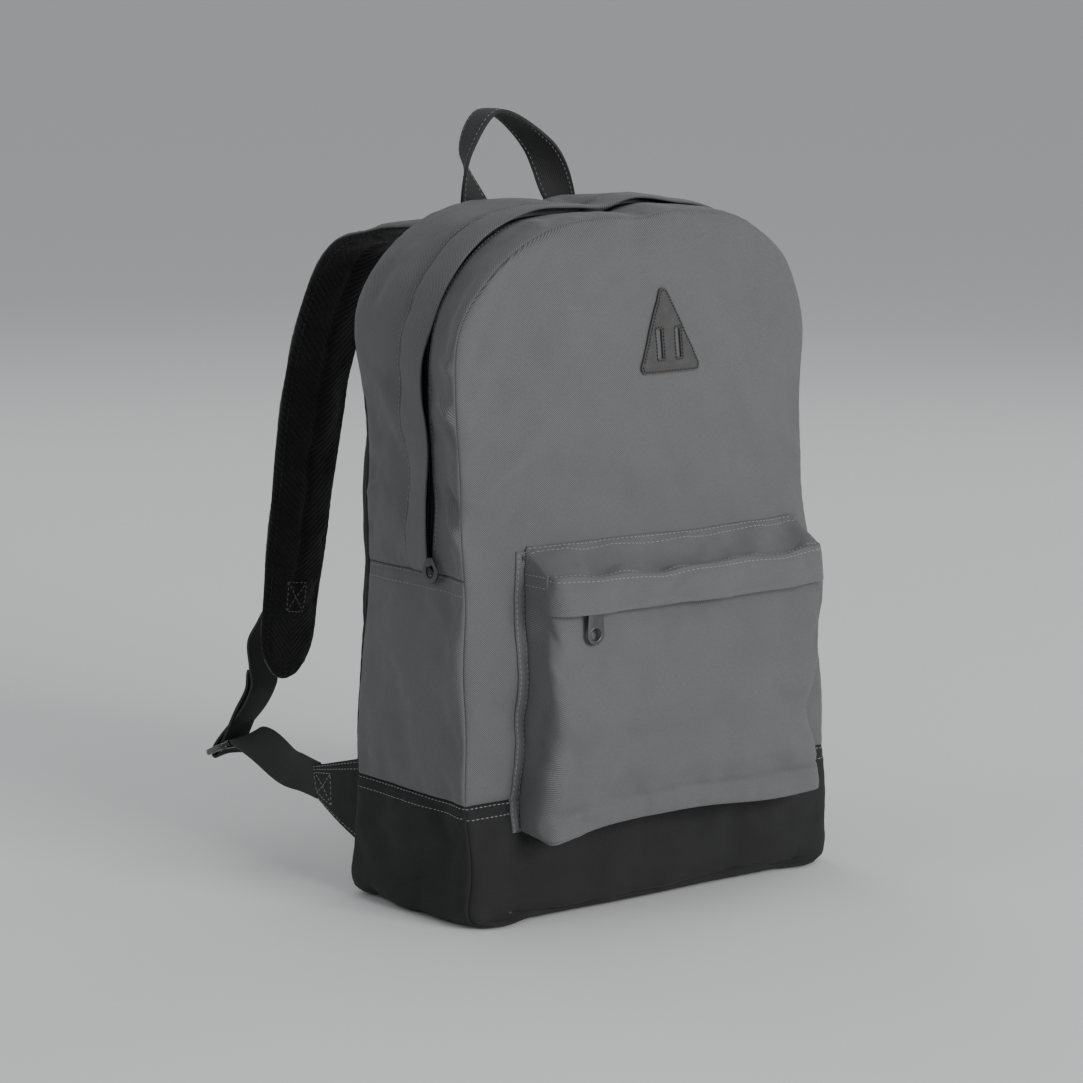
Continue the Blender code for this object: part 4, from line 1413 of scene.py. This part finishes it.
flanges = [flange("pocket_flange_" + name, side) for name, side in SIDES]
pocket_sheets = [pocket_wrap, pocket_floor, pocket_roof, pocket_lid, *flanges]
simulate(pocket_sheets)
for sheet in pocket_sheets:
    sheet.finish()

place(pocket_wrap.make(GREY, lining=LINING), "root", "grey_twill", "pocket_front")
place(pocket_floor.make(GREY), "root", "grey_twill", "pocket_gusset")
place(pocket_roof.make(GREY, lining=LINING), "root", "grey_twill", "pocket_roof")
place(pocket_lid.make(GREY), "root", "grey_twill", "pocket_flap", **LID)
for sheet in flanges:
    place(sheet.make(GREY, 0.0011), "root", "grey_twill")
bands = [band(side) for _, side in SIDES]
for (name, _), (p, coords) in zip(SIDES, bands):
    place(sheet_object("pocket_band_" + name, p, coords, GREY), "root", "grey_twill")


def pocket_zip():
    """The lower tape stands upright. The upper one leans back to the rim and is cut along it."""
    eave = rim(np.linspace(RIM_CORNER, RIM - RIM_CORNER, 200))
    x = np.linspace(-POCKET_HALF + 0.006, POCKET_HALF - 0.006, 90)
    depth = box("pocket_zip_lower")[0][1]
    for half, side in (("lower", -1), ("upper", 1)):
        low, high = box("pocket_zip_" + half)
        a, share = grid(x, np.linspace(0, 1, 6))
        foot, top, y = low[2] - 0.002, high[2], depth + 0.0008
        if side > 0:
            top = np.interp(a, eave[:, 0], eave[:, 2]) - 0.0024
            y = y + share**2 * (np.interp(a, eave[:, 0], eave[:, 1]) + 0.0022 - y)
        b = foot + (top - foot) * share
        line = join(x, depth, POCKET_ZIP_Z + side * 0.0009)
        teeth = line, np.tile([0, -1.0, 0], (len(x), 1)), 0.0011
        zip_half("pocket", half, join(a, y, b), join(a, b), teeth, {})


def pocket_slider():
    low, high = box("pocket_slider")
    length, height, width = high - low
    where = frame_matrix((low + high) / 2, (0, 0, 1), (-1, 0, 0))
    metal_piece("pocket_slider_body", "pocket_slider", slider_body(width, length, height), where)
    low, high = box("pocket_pull")
    pull = pull_tab(0.0048, 0.0065, high[2] - low[2], 0.0013)
    hook = ((low[0] + high[0]) / 2, low[1] - 0.0009, high[2])
    metal_piece("pocket_pull_tab", "pocket_pull", pull, frame_matrix(hook, (1, 0, 0), (0, 0, 1)))


pocket_zip()
pocket_slider()


# ---- Patch ----
PATCH_LOW, PATCH_HIGH = box("patch")
PATCH_WIDTH, _, PATCH_HEIGHT = PATCH_HIGH - PATCH_LOW
PATCH_CORNER = 0.0040
PATCH_CELL = 0.003


def dense(points, step=0.0008, closed=True):
    points = np.array(points + points[:1] if closed else points, float)
    covered = travelled(points)
    return read_line(np.linspace(0, covered[-1], int(covered[-1] / step)), covered, points)


def patch_triangle(inset):
    """The patch's outline, a triangle with rounded corners."""
    half, rise = PATCH_WIDTH / 2 - PATCH_CORNER, PATCH_HEIGHT - 2 * PATCH_CORNER
    lean = math.degrees(math.atan2(rise, half))
    radius, foot = PATCH_CORNER - inset, PATCH_LOW[2] + PATCH_CORNER
    points = circle(-half, foot, radius, 90 + lean, 270, 8) + circle(half, foot, radius, -90, 90 - lean, 8)
    return points + circle(-0.003, PATCH_HIGH[2] - PATCH_CORNER, radius, 90 - lean, 90 + lean, 8)


def patch_slot(side, grow):
    x, z = side * 0.0078 - 0.0009, PATCH_LOW[2] + PATCH_HEIGHT * 0.345
    w, h = 0.0020 + grow, 0.0090 + grow
    return [(x - w, z - h), (x + w, z - h), (x + w, z + h), (x - w, z + h)]


def cut_into_cells(mesh):
    """Cuts a mesh along a square grid, so that it can follow a curved face."""
    cutter = bmesh.new()
    cutter.from_mesh(mesh)
    for axis, first, last in ((0, PATCH_LOW[0], PATCH_HIGH[0]), (1, PATCH_LOW[2], PATCH_HIGH[2])):
        for at in np.arange(first + PATCH_CELL, last, PATCH_CELL):
            centre, normal = [0, 0, 0], [0, 0, 0]
            centre[axis], normal[axis] = at, 1
            everything = cutter.verts[:] + cutter.edges[:] + cutter.faces[:]
            bmesh.ops.bisect_plane(cutter, geom=everything, plane_co=centre, plane_no=normal)
    cutter.to_mesh(mesh)
    cutter.free()


def patch():
    outlines = [patch_triangle(0), patch_slot(-1, 0), patch_slot(1, 0)]
    plate = flat_plate("patch", outlines, 0.0016, 0.0004, SUEDE, 2)
    bpy.context.view_layer.update()
    mesh = bpy.data.meshes.new_from_object(plate.evaluated_get(bpy.context.evaluated_depsgraph_get()))
    bpy.data.objects.remove(plate)
    cut_into_cells(mesh)
    for vertex in mesh.vertices:
        x, z, out = vertex.co
        vertex.co = (x, float(front_depth(x, z)) - 0.0010 - out, z)
    mesh.materials.clear()
    mesh.materials.append(SUEDE)
    mesh.update()
    obj = link(bpy.data.objects.new("patch", mesh))
    obj.modifiers.new("crease", "EDGE_SPLIT").split_angle = math.radians(40)
    place(obj, "mouth", "suede", "patch")
    lines = []
    for sewn in (patch_triangle(0.0013), patch_slot(-1, 0.0011), patch_slot(1, 0.0011)):
        x, z = dense(sewn).T
        p = join(x, front_depth(x, z) - 0.0019, z)
        lines.append((p, np.tile([0.0, -1.0, 0.0], (len(p), 1))))
    place(stitches("patch_stitching", lines, DARK_THREAD, 0.0022, 0.0018, 0.00048), "mouth", "suede")


patch()


# ---- Bands of webbing: handle, strap webs, lower webs ----
WEB_THICKNESS = 0.0018
HANDLE_LINE = (
    (-0.0460, 0.0560, 0.4262), (-0.047, 0.0615, 0.4308), (-0.054, 0.062, 0.464), (-0.034, 0.062, 0.4905),
    (0.004, 0.062, 0.467), (0.022, 0.0615, 0.4308), (0.0230, 0.0560, 0.4262),
)
STRAP_LINE = (
    (-0.0495, 0.0572, 0.418), (-0.052, 0.082, 0.418), (-0.059, 0.123, 0.413), (-0.072, 0.158, 0.394),
    (-0.0850, 0.1800, 0.3270), (-0.0980, 0.1880, 0.2220), (-0.1130, 0.1860, 0.1200),
)
STRAP_KNOTS = (0.0, 0.07, 0.15, 0.25, 0.42, 0.70, 1.0)
UPPER_WEB = (
    (-0.104, 0.1955, 0.19), (-0.1062, 0.1972, 0.17), (-0.1095, 0.206, 0.153), (-0.1135, 0.2125, 0.138),
    (-0.115, 0.2085, 0.121), (-0.1165, 0.205, 0.109), (-0.121, 0.211, 0.093), (-0.1275, 0.225, 0.075),
    (-0.13, 0.2312, 0.0655), (-0.13, 0.229, 0.0608), (-0.13, 0.225, 0.0622), (-0.1298, 0.2232, 0.067),
    (-0.1275, 0.22, 0.076), (-0.1235, 0.215, 0.091), (-0.118, 0.2105, 0.105), (-0.1145, 0.212, 0.115),
)
LOWER_WEB = (
    (-0.1363, 0.112, 0.0628), (-0.137, 0.13, 0.065), (-0.1372, 0.148, 0.0665), (-0.1345, 0.178, 0.0745),
    (-0.131, 0.203, 0.0765), (-0.13, 0.211, 0.073), (-0.13, 0.2142, 0.068), (-0.13, 0.2165, 0.064),
)


def band_object(name, line, across, width, thickness, crown, columns=9):
    """A woven band: points along its middle, unit vectors across it. Also returns its grid and facing."""
    out = unit(np.cross(unit(np.gradient(line, axis=0)), across))
    share = np.linspace(-1, 1, columns)
    p = line[:, None] + across[:, None] * (share * width / 2)[None, :, None]
    p = p + out[:, None] * (crown * (1 - share**2))[None, :, None]
    coords = join(*grid(travelled(line), share * width / 2))
    obj = sheet_object(name, p, coords, WEB, thickness)
    obj.modifiers["thickness"].offset = 0.0
    bevel = obj.modifiers.new("selvedge", "BEVEL")
    bevel.width = thickness * 0.3
    bevel.segments = 2
    bevel.limit_method = "ANGLE"
    bevel.angle_limit = math.radians(60)
    return obj, p, out


def square_to(line, wanted):
    """Unit vectors that are square to a line and as near as they can be to the wanted ones."""
    forward = unit(np.gradient(line, axis=0))
    return unit(wanted - forward * (wanted * forward).sum(-1, keepdims=True))


def handle():
    t = np.linspace(0, 1, 110)
    middle = smooth_line(HANDLE_LINE, t)
    angle = math.pi * np.clip((t - 1 / 6) / (4 / 6), 0, 1)
    forward = unit(np.gradient(middle, axis=0))
    turn = math.pi / 2 * np.sin(angle)
    flat = join(np.cos(angle), 0, -forward[:, 0] * np.sin(angle))
    across = unit(flat * np.cos(turn)[:, None] + np.array([0.0, 1.0, 0.0]) * np.sin(turn)[:, None])
    obj, p, out = band_object("grab_handle", middle, across, 0.023, 0.0020, 0.0006, 11)
    motion = {"bend_to": "handle", "start": (0, 0, 0.4275), "end": (0, 0, 0.4420)}
    place(obj, "root", "black_twill", "grab_handle", **motion)
    lines = [(p[:, k] + out * 0.0010 * face, out * face) for k in (1, 9) for face in (-1, 1)]
    sewn = stitches("handle_stitching", lines, THREAD, 0.0036, 0.0024, 0.00022)
    place(sewn, "root", "black_twill", **motion)


handle()


# ---- Shoulder straps ----
STRAP_LENGTH = 0.452


def mirror(points, side):
    return [(-side * x, y, z) for x, y, z in points]


def strap_middle(t, side):
    places = np.interp(t, STRAP_KNOTS, np.linspace(0, 1, len(STRAP_KNOTS)))
    return smooth_line(mirror(STRAP_LINE, side), places)


def strap_frame(t, side):
    """Middle, forward and across vectors along a strap, which turns outwards towards its tip."""
    fine = np.linspace(0, 1, 400)
    slope = smoothed(np.gradient(strap_middle(fine, side), axis=0), 7)
    forward = unit(read_line(t, fine, slope))
    turn = math.radians(20) * t**2
    level = join(np.cos(turn), -side * np.sin(turn), 0)
    across = unit(level - forward * (level * forward).sum(-1, keepdims=True))
    return strap_middle(t, side), forward, across


def strap_half(t):
    """Half width: even, then closing to a rounded tip."""
    tip = np.clip((t - 0.93) / 0.07, 0, 1)
    return STRAP_WIDTH / 2 * np.sqrt(1 - 0.80 * tip**2)


def strap_edge(side, hand, seed):
    def line(t):
        middle, _, across = strap_frame(t, side)
        wander = 0.0006 * waves(t * 0.45, 0, 0.06, seed)
        return middle + across * (hand * (strap_half(t) + wander))[:, None]

    return line


def strap_end(side, at, hand, bow):
    middle, forward, across = strap_frame(np.array([at]), side)
    half = strap_half(np.array([at]))[0]

    def line(t):
        share = (hand - 2 * hand * t)[:, None]
        return middle + across * (share * half) + forward * (bow * (1 - share**2))

    return line


def cover_shape(u, v):
    return 0.0010 * hump(v, 0.5, 0.3)


def mesh_shape(u, v):
    """A channel along the middle of the side that faces the back."""
    return -0.0016 * hump(v, 0.5, 0.05) * (1 - ramp(u, 0.75, 0.9)) * ramp(u, 0.1, 0.2)


def strap_sheet(name, side, hand, puff, shape):
    edges = [strap_edge(side, hand, 91), strap_edge(side, -hand, 93)]
    edges += [strap_end(side, 0.0, hand, 0.0), strap_end(side, 1.0, hand, 0.0045)]
    return Sheet(
        name, *edges, size=(STRAP_LENGTH, STRAP_WIDTH), puff=puff, shape=shape, fullness=0.42,
        rows=(("s", 0.0045), ("n", 0.0045)), cap=0.0010, ripple=0.0004, valley=0.0006, seams="sne",
    )


def cross_box(sheet, u0, u1, v0, v1):
    """Box and cross of stitches on a sheet, in fractions along u and v."""
    corners = [(u0, v0), (u1, v0), (u1, v1), (u0, v1)]
    paths = [dense(corners, 0.004)] + [dense(corners[k::2], 0.004, False) for k in (0, 1)]
    return [sheet.read(*path.T) for path in paths]


def web_box(p, out):
    """Box and cross of stitches where the webbing is sewn to the strap, on rows 4 to 28 of its grid."""
    lines = []
    for i0, j0, i1, j1 in (
        (4, 1, 28, 7), (4, 7, 28, 1), (4, 1, 4, 7), (28, 1, 28, 7), (4, 1, 28, 1), (4, 7, 28, 7),
    ):
        i = np.rint(np.linspace(i0, i1, 40)).astype(int)
        j = np.rint(np.linspace(j0, j1, 40)).astype(int)
        lines.append((smoothed(p[i, j], 3) - out[i] * 0.0010, -out[i]))
    return lines


def sew_strap(name, cover, mesh):
    """Cover, mesh and their stitches."""
    body = "strap_" + name
    place(cover.make(GREY, 0.0010), body, "grey_twill", "strap_cover_" + name)
    place(mesh.make(KNIT, 0.0010), body, "black_mesh", "strap_mesh_" + name, "strap_foam_" + name)
    dark = stitches("strap_seam_" + name, mesh.all_rows(0.02, 0.97), DARK_THREAD, 0.0036, 0.0027, 0.0003)
    place(dark, body, "black_mesh")
    pale = cover.all_rows(0.02, 0.97) + cross_box(mesh, 0.815, 0.870, 0.35, 0.65)
    place(stitches("strap_stitching_" + name, pale), body, "grey_twill")


def strap_webs(name, side):
    """The web that hangs from the strap through the lock, and the lower web from the wing to the lock."""
    body = "strap_" + name
    upper = smooth_line(mirror(UPPER_WEB, side), np.linspace(0, 1, 150))
    turn = math.radians(16)
    across = square_to(upper, np.array([math.cos(turn), -side * math.sin(turn), 0.0]))
    web, p, out = band_object("strap_web_" + name, upper, across, 0.025, WEB_THICKNESS, 0.0004)
    place(web, body, "black_twill", "strap_web_" + name)
    sewn = stitches("web_stitching_" + name, web_box(p, out), THREAD, 0.0032, 0.0023, 0.00028)
    place(sewn, body, "black_twill")
    t = np.linspace(0, 1, 120)
    lower = smooth_line(mirror(LOWER_WEB, side), t)
    turn = math.pi / 2 * ramp(t, 0.05, 0.80)
    across = square_to(lower, join(-side * np.sin(turn), 0, np.cos(turn)))
    web, _, _ = band_object("lower_web_" + name, lower, across, 0.0245, WEB_THICKNESS, 0.0008)
    motion = {"bend_to": body, "start": (0, 0.125, 0), "end": (0, 0.200, 0)}
    place(web, "root", "black_twill", "lower_web_" + name, **motion)


def rounded_rectangle(y, w, h, r):
    points = []
    for cx, cy, start in ((1, -1, -90), (1, 1, 0), (-1, 1, 90), (-1, -1, 180)):
        points += circle(cx * (w / 2 - r), y + cy * (h / 2 - r), r, start, start + 90, 6)
    return points


def ladder_lock(name):
    """A plate with two slots, a lip along its lower edge and small ribs on the bar."""
    low, high = box("ladder_lock_" + name)
    width, length = high[0] - low[0], 0.024
    outlines = [rounded_rectangle(0, width, length, 0.0045)]
    outlines += [rounded_rectangle(end * length * 0.22, 0.0265, 0.0050, 0.0014) for end in (-1, 1)]
    lip_at, lip_size = (0, -length * 0.5 + 0.0012, 0.0012), (width * 0.8, 0.0042, 0.0040)
    parts = [
        flat_plate("lock_plate", outlines, 0.0042, 0.0014, PLASTIC),
        rounded_box("lock_lip", lip_at, lip_size, 0.0013, PLASTIC),
    ]
    for k in range(7):
        rib_at = ((k - 3) * 0.0036, 0, 0.0019)
        parts.append(rounded_box("lock_rib", rib_at, (0.0012, 0.0044, 0.0012), 0.0004, PLASTIC))
    tilt = Matrix.Rotation(math.radians(-22), 4, "X")
    lock = gather("ladder_lock_" + name, parts, Matrix.Translation(Vector((low + high) / 2)) @ tilt)
    place(lock, "adjuster_" + name, "buckle_plastic", "ladder_lock_" + name)


def wing(name, side):
    """A doubled triangle of cloth, hemmed along both slanting edges."""
    low, high = box("wing_" + name)
    x = side * (max(abs(low[0]), abs(high[0])) + 0.0004)
    near, root_low, root_high = low[1] - 0.006, low[2] - 0.002, high[2] + 0.001
    far_low, far_high = (x, high[1] - 0.006, 0.052), (x, high[1], 0.072)

    def edge(a, b, sway=0.0):
        line = between(a, b)
        return lambda t: line(t) + np.array([sway * side, 0, 0]) * np.sin(math.pi * t)[:, None]

    south, north = edge((x, near, root_low), far_low, 0.002), edge((x, near, root_high), far_high, 0.0012)
    west, east = edge((x, near, root_low), (x, near, root_high)), edge(far_low, far_high)
    edges = (reverse(south), reverse(north), east, west) if side < 0 else (south, north, west, east)
    sheet = Sheet(
        "wing_" + name, *edges, size=(0.062, 0.050), puff=0.0008, seams="", ripple=0.0005,
        rows=(("n", 0.0020), ("n", 0.0060), ("s", 0.0025)), step=0.0026,
    ).finish()
    place(sheet.make(BLACK, 0.0024), "root", "black_twill", "wing_" + name)
    root_end = (0.03, 0.36) if side < 0 else (0.64, 0.97)
    lines = sheet.all_rows(0.03, 0.97) + cross_box(sheet, *root_end, 0.22, 0.80)
    inner = [(p - n * 0.0026, -n) for p, n in lines]
    place(stitches("wing_stitching_" + name, lines + inner), "root", "black_twill")


straps = []
for name, side in SIDES:
    cover = strap_sheet("strap_cover_" + name, side, 1, 0.0048, cover_shape)
    straps += [cover, strap_sheet("strap_mesh_" + name, side, -1, 0.0052, mesh_shape)]
simulate(straps)
for sheet in straps:
    sheet.finish()
for (name, side), cover, mesh in zip(SIDES, straps[::2], straps[1::2]):
    sew_strap(name, cover, mesh)
    strap_webs(name, side)
    ladder_lock(name)
    wing(name, side)


# ---- Yoke, inner pad and the seam stitching ----
def on_back(x, z):
    """Points just behind the back panel."""
    return join(x, back_depth(x, z) + 0.0014, z)


def yoke():
    """The panel over the strap roots. Its edges drop towards the bag's sides."""
    low, high = box("yoke")
    width, _, height = high - low

    def level(z):
        def line(t):
            x = high[0] - width * t
            return on_back(x, z - 0.010 * (x / high[0]) ** 2)

        return line

    def upright(x):
        return lambda t: on_back(x, low[2] + height * t - 0.010)

    sheet = Sheet(
        "yoke", level(low[2]), level(high[2]), upright(high[0]), upright(low[0]), size=(width, height),
        rows=(("n", 0.0018), ("n", 0.0070), ("s", 0.0018), ("w", 0.002), ("e", 0.002)),
        seams="", ripple=0.0003,
    ).finish()
    depth = back_depth(sheet.points[..., 0], sheet.points[..., 2])
    sheet.points[..., 1] = np.maximum(sheet.points[..., 1], depth + 0.0012)
    sheet.normals = grid_normals(sheet.points)
    place(sheet.make(BLACK, 0.0014), "root", "black_twill", "yoke")
    return sheet.all_rows()


def inner_pad():
    low, high = box("back_foam")
    depth, inset, corner = low[1], high[0] - HALF, TOTAL - SHOULDER
    foot = between((-FOOT_X, depth, low[2]), (FOOT_X, depth, low[2]))
    edges = [run(*ends, depth, inset) for ends in ((SHOULDER, corner), (0, SHOULDER), (TOTAL, corner))]
    size = (2 * high[0], high[2] - low[2])
    sheet = Sheet("back_foam", foot, *edges, size=size, puff=0.003, facing=-1.0, ripple=0.0004).finish()
    place(sheet.make(FOAM, 0.004), "root", "foam", "back_foam")


def seam_stitching():
    fixed = yoke()
    t = np.linspace(0.004, 0.996, 700)
    fixed.append(rear_gusset.read(t, flap_seam_share(t) + FLAP_STITCH_GAP / REAR_WIDTH))
    for sheet in (base_front, base_left, base_right, side_left, side_right, pocket_roof, *flanges):
        fixed += sheet.all_rows()
    fixed += [band_row(p, height) for p, _ in bands for height in (0.2185, 0.2120)]
    place(stitches("seam_stitching", fixed), "root", "grey_twill")
    place(stitches("lid_stitching", pocket_lid.all_rows()), "root", "grey_twill", **LID)
    moving = stitches("zip_stitching", front_gusset.all_rows(), pitch=0.0030, length=0.0022)
    place(moving, "root", "grey_twill", **MOUTH)


inner_pad()
seam_stitching()


# ---- Floor, light and camera ----
FLOOR_REACH = 200
SKY_STRENGTH = 0.47
LIGHTS = (
    ("key", (0.3, -2.95, 1.05), (0, 0, 0.22), (1.5, 1.3), 73),
    ("fill", (2.4, 0.6, 1.5), (0, 0, 0.25), (1.4, 1.4), 7),
    ("side", (-2.6, 0.4, 1.5), (0, 0, 0.25), (1.2, 1.2), 8),
    ("rim", (0.5, 2.4, 2.2), (0, 0, 0.3), (1.6, 1.0), 13),
)
CAMERA_AZIMUTH, CAMERA_ELEVATION = math.radians(-38), math.radians(9)
CAMERA_DISTANCE = 2.288
CAMERA_HEIGHT = 0.2194
CAMERA_SHIFT = -0.0332
CAMERA_LENS = 119.7


def stage():
    floor = bpy.data.materials.new("floor")
    floor.use_nodes = True
    shader = floor.node_tree.nodes["Principled BSDF"]
    shader.inputs["Base Color"].default_value = (0.86, 0.86, 0.85, 1)
    shader.inputs["Roughness"].default_value = 0.9
    corners = [(x * FLOOR_REACH, y * FLOOR_REACH, 0) for x, y in ((-1, -1), (1, -1), (1, 1), (-1, 1))]
    mesh_object("floor", corners, [(0, 1, 2, 3)], floor)
    world = bpy.context.scene.world or bpy.data.worlds.new("studio")
    bpy.context.scene.world = world
    world.use_nodes = True
    sky = world.node_tree.nodes["Background"]
    sky.inputs[0].default_value = (0.80, 0.82, 0.85, 1)
    sky.inputs[1].default_value = SKY_STRENGTH


def aim(obj, direction):
    obj.rotation_euler = direction.to_track_quat("-Z", "Y").to_euler()


def area_light(name, location, target, size, power):
    light = bpy.data.lights.new(name, "AREA")
    light.shape = "RECTANGLE"
    light.size, light.size_y = size
    light.energy = power
    obj = link(bpy.data.objects.new(name, light))
    obj.location = location
    aim(obj, Vector(target) - Vector(location))


def camera():
    sine, cosine = math.sin(CAMERA_AZIMUTH), math.cos(CAMERA_AZIMUTH)
    level = math.cos(CAMERA_ELEVATION)
    back = Vector((sine * level, -cosine * level, math.sin(CAMERA_ELEVATION)))
    data = bpy.data.cameras.new("camera")
    data.sensor_width = 36
    data.lens = CAMERA_LENS
    obj = link(bpy.data.objects.new("camera", data))
    right = Vector((cosine, sine, 0))
    obj.location = Vector((0, 0, CAMERA_HEIGHT)) + right * CAMERA_SHIFT + back * CAMERA_DISTANCE
    aim(obj, -back)
    bpy.context.scene.camera = obj


stage()
for light in LIGHTS:
    area_light(*light)
camera()
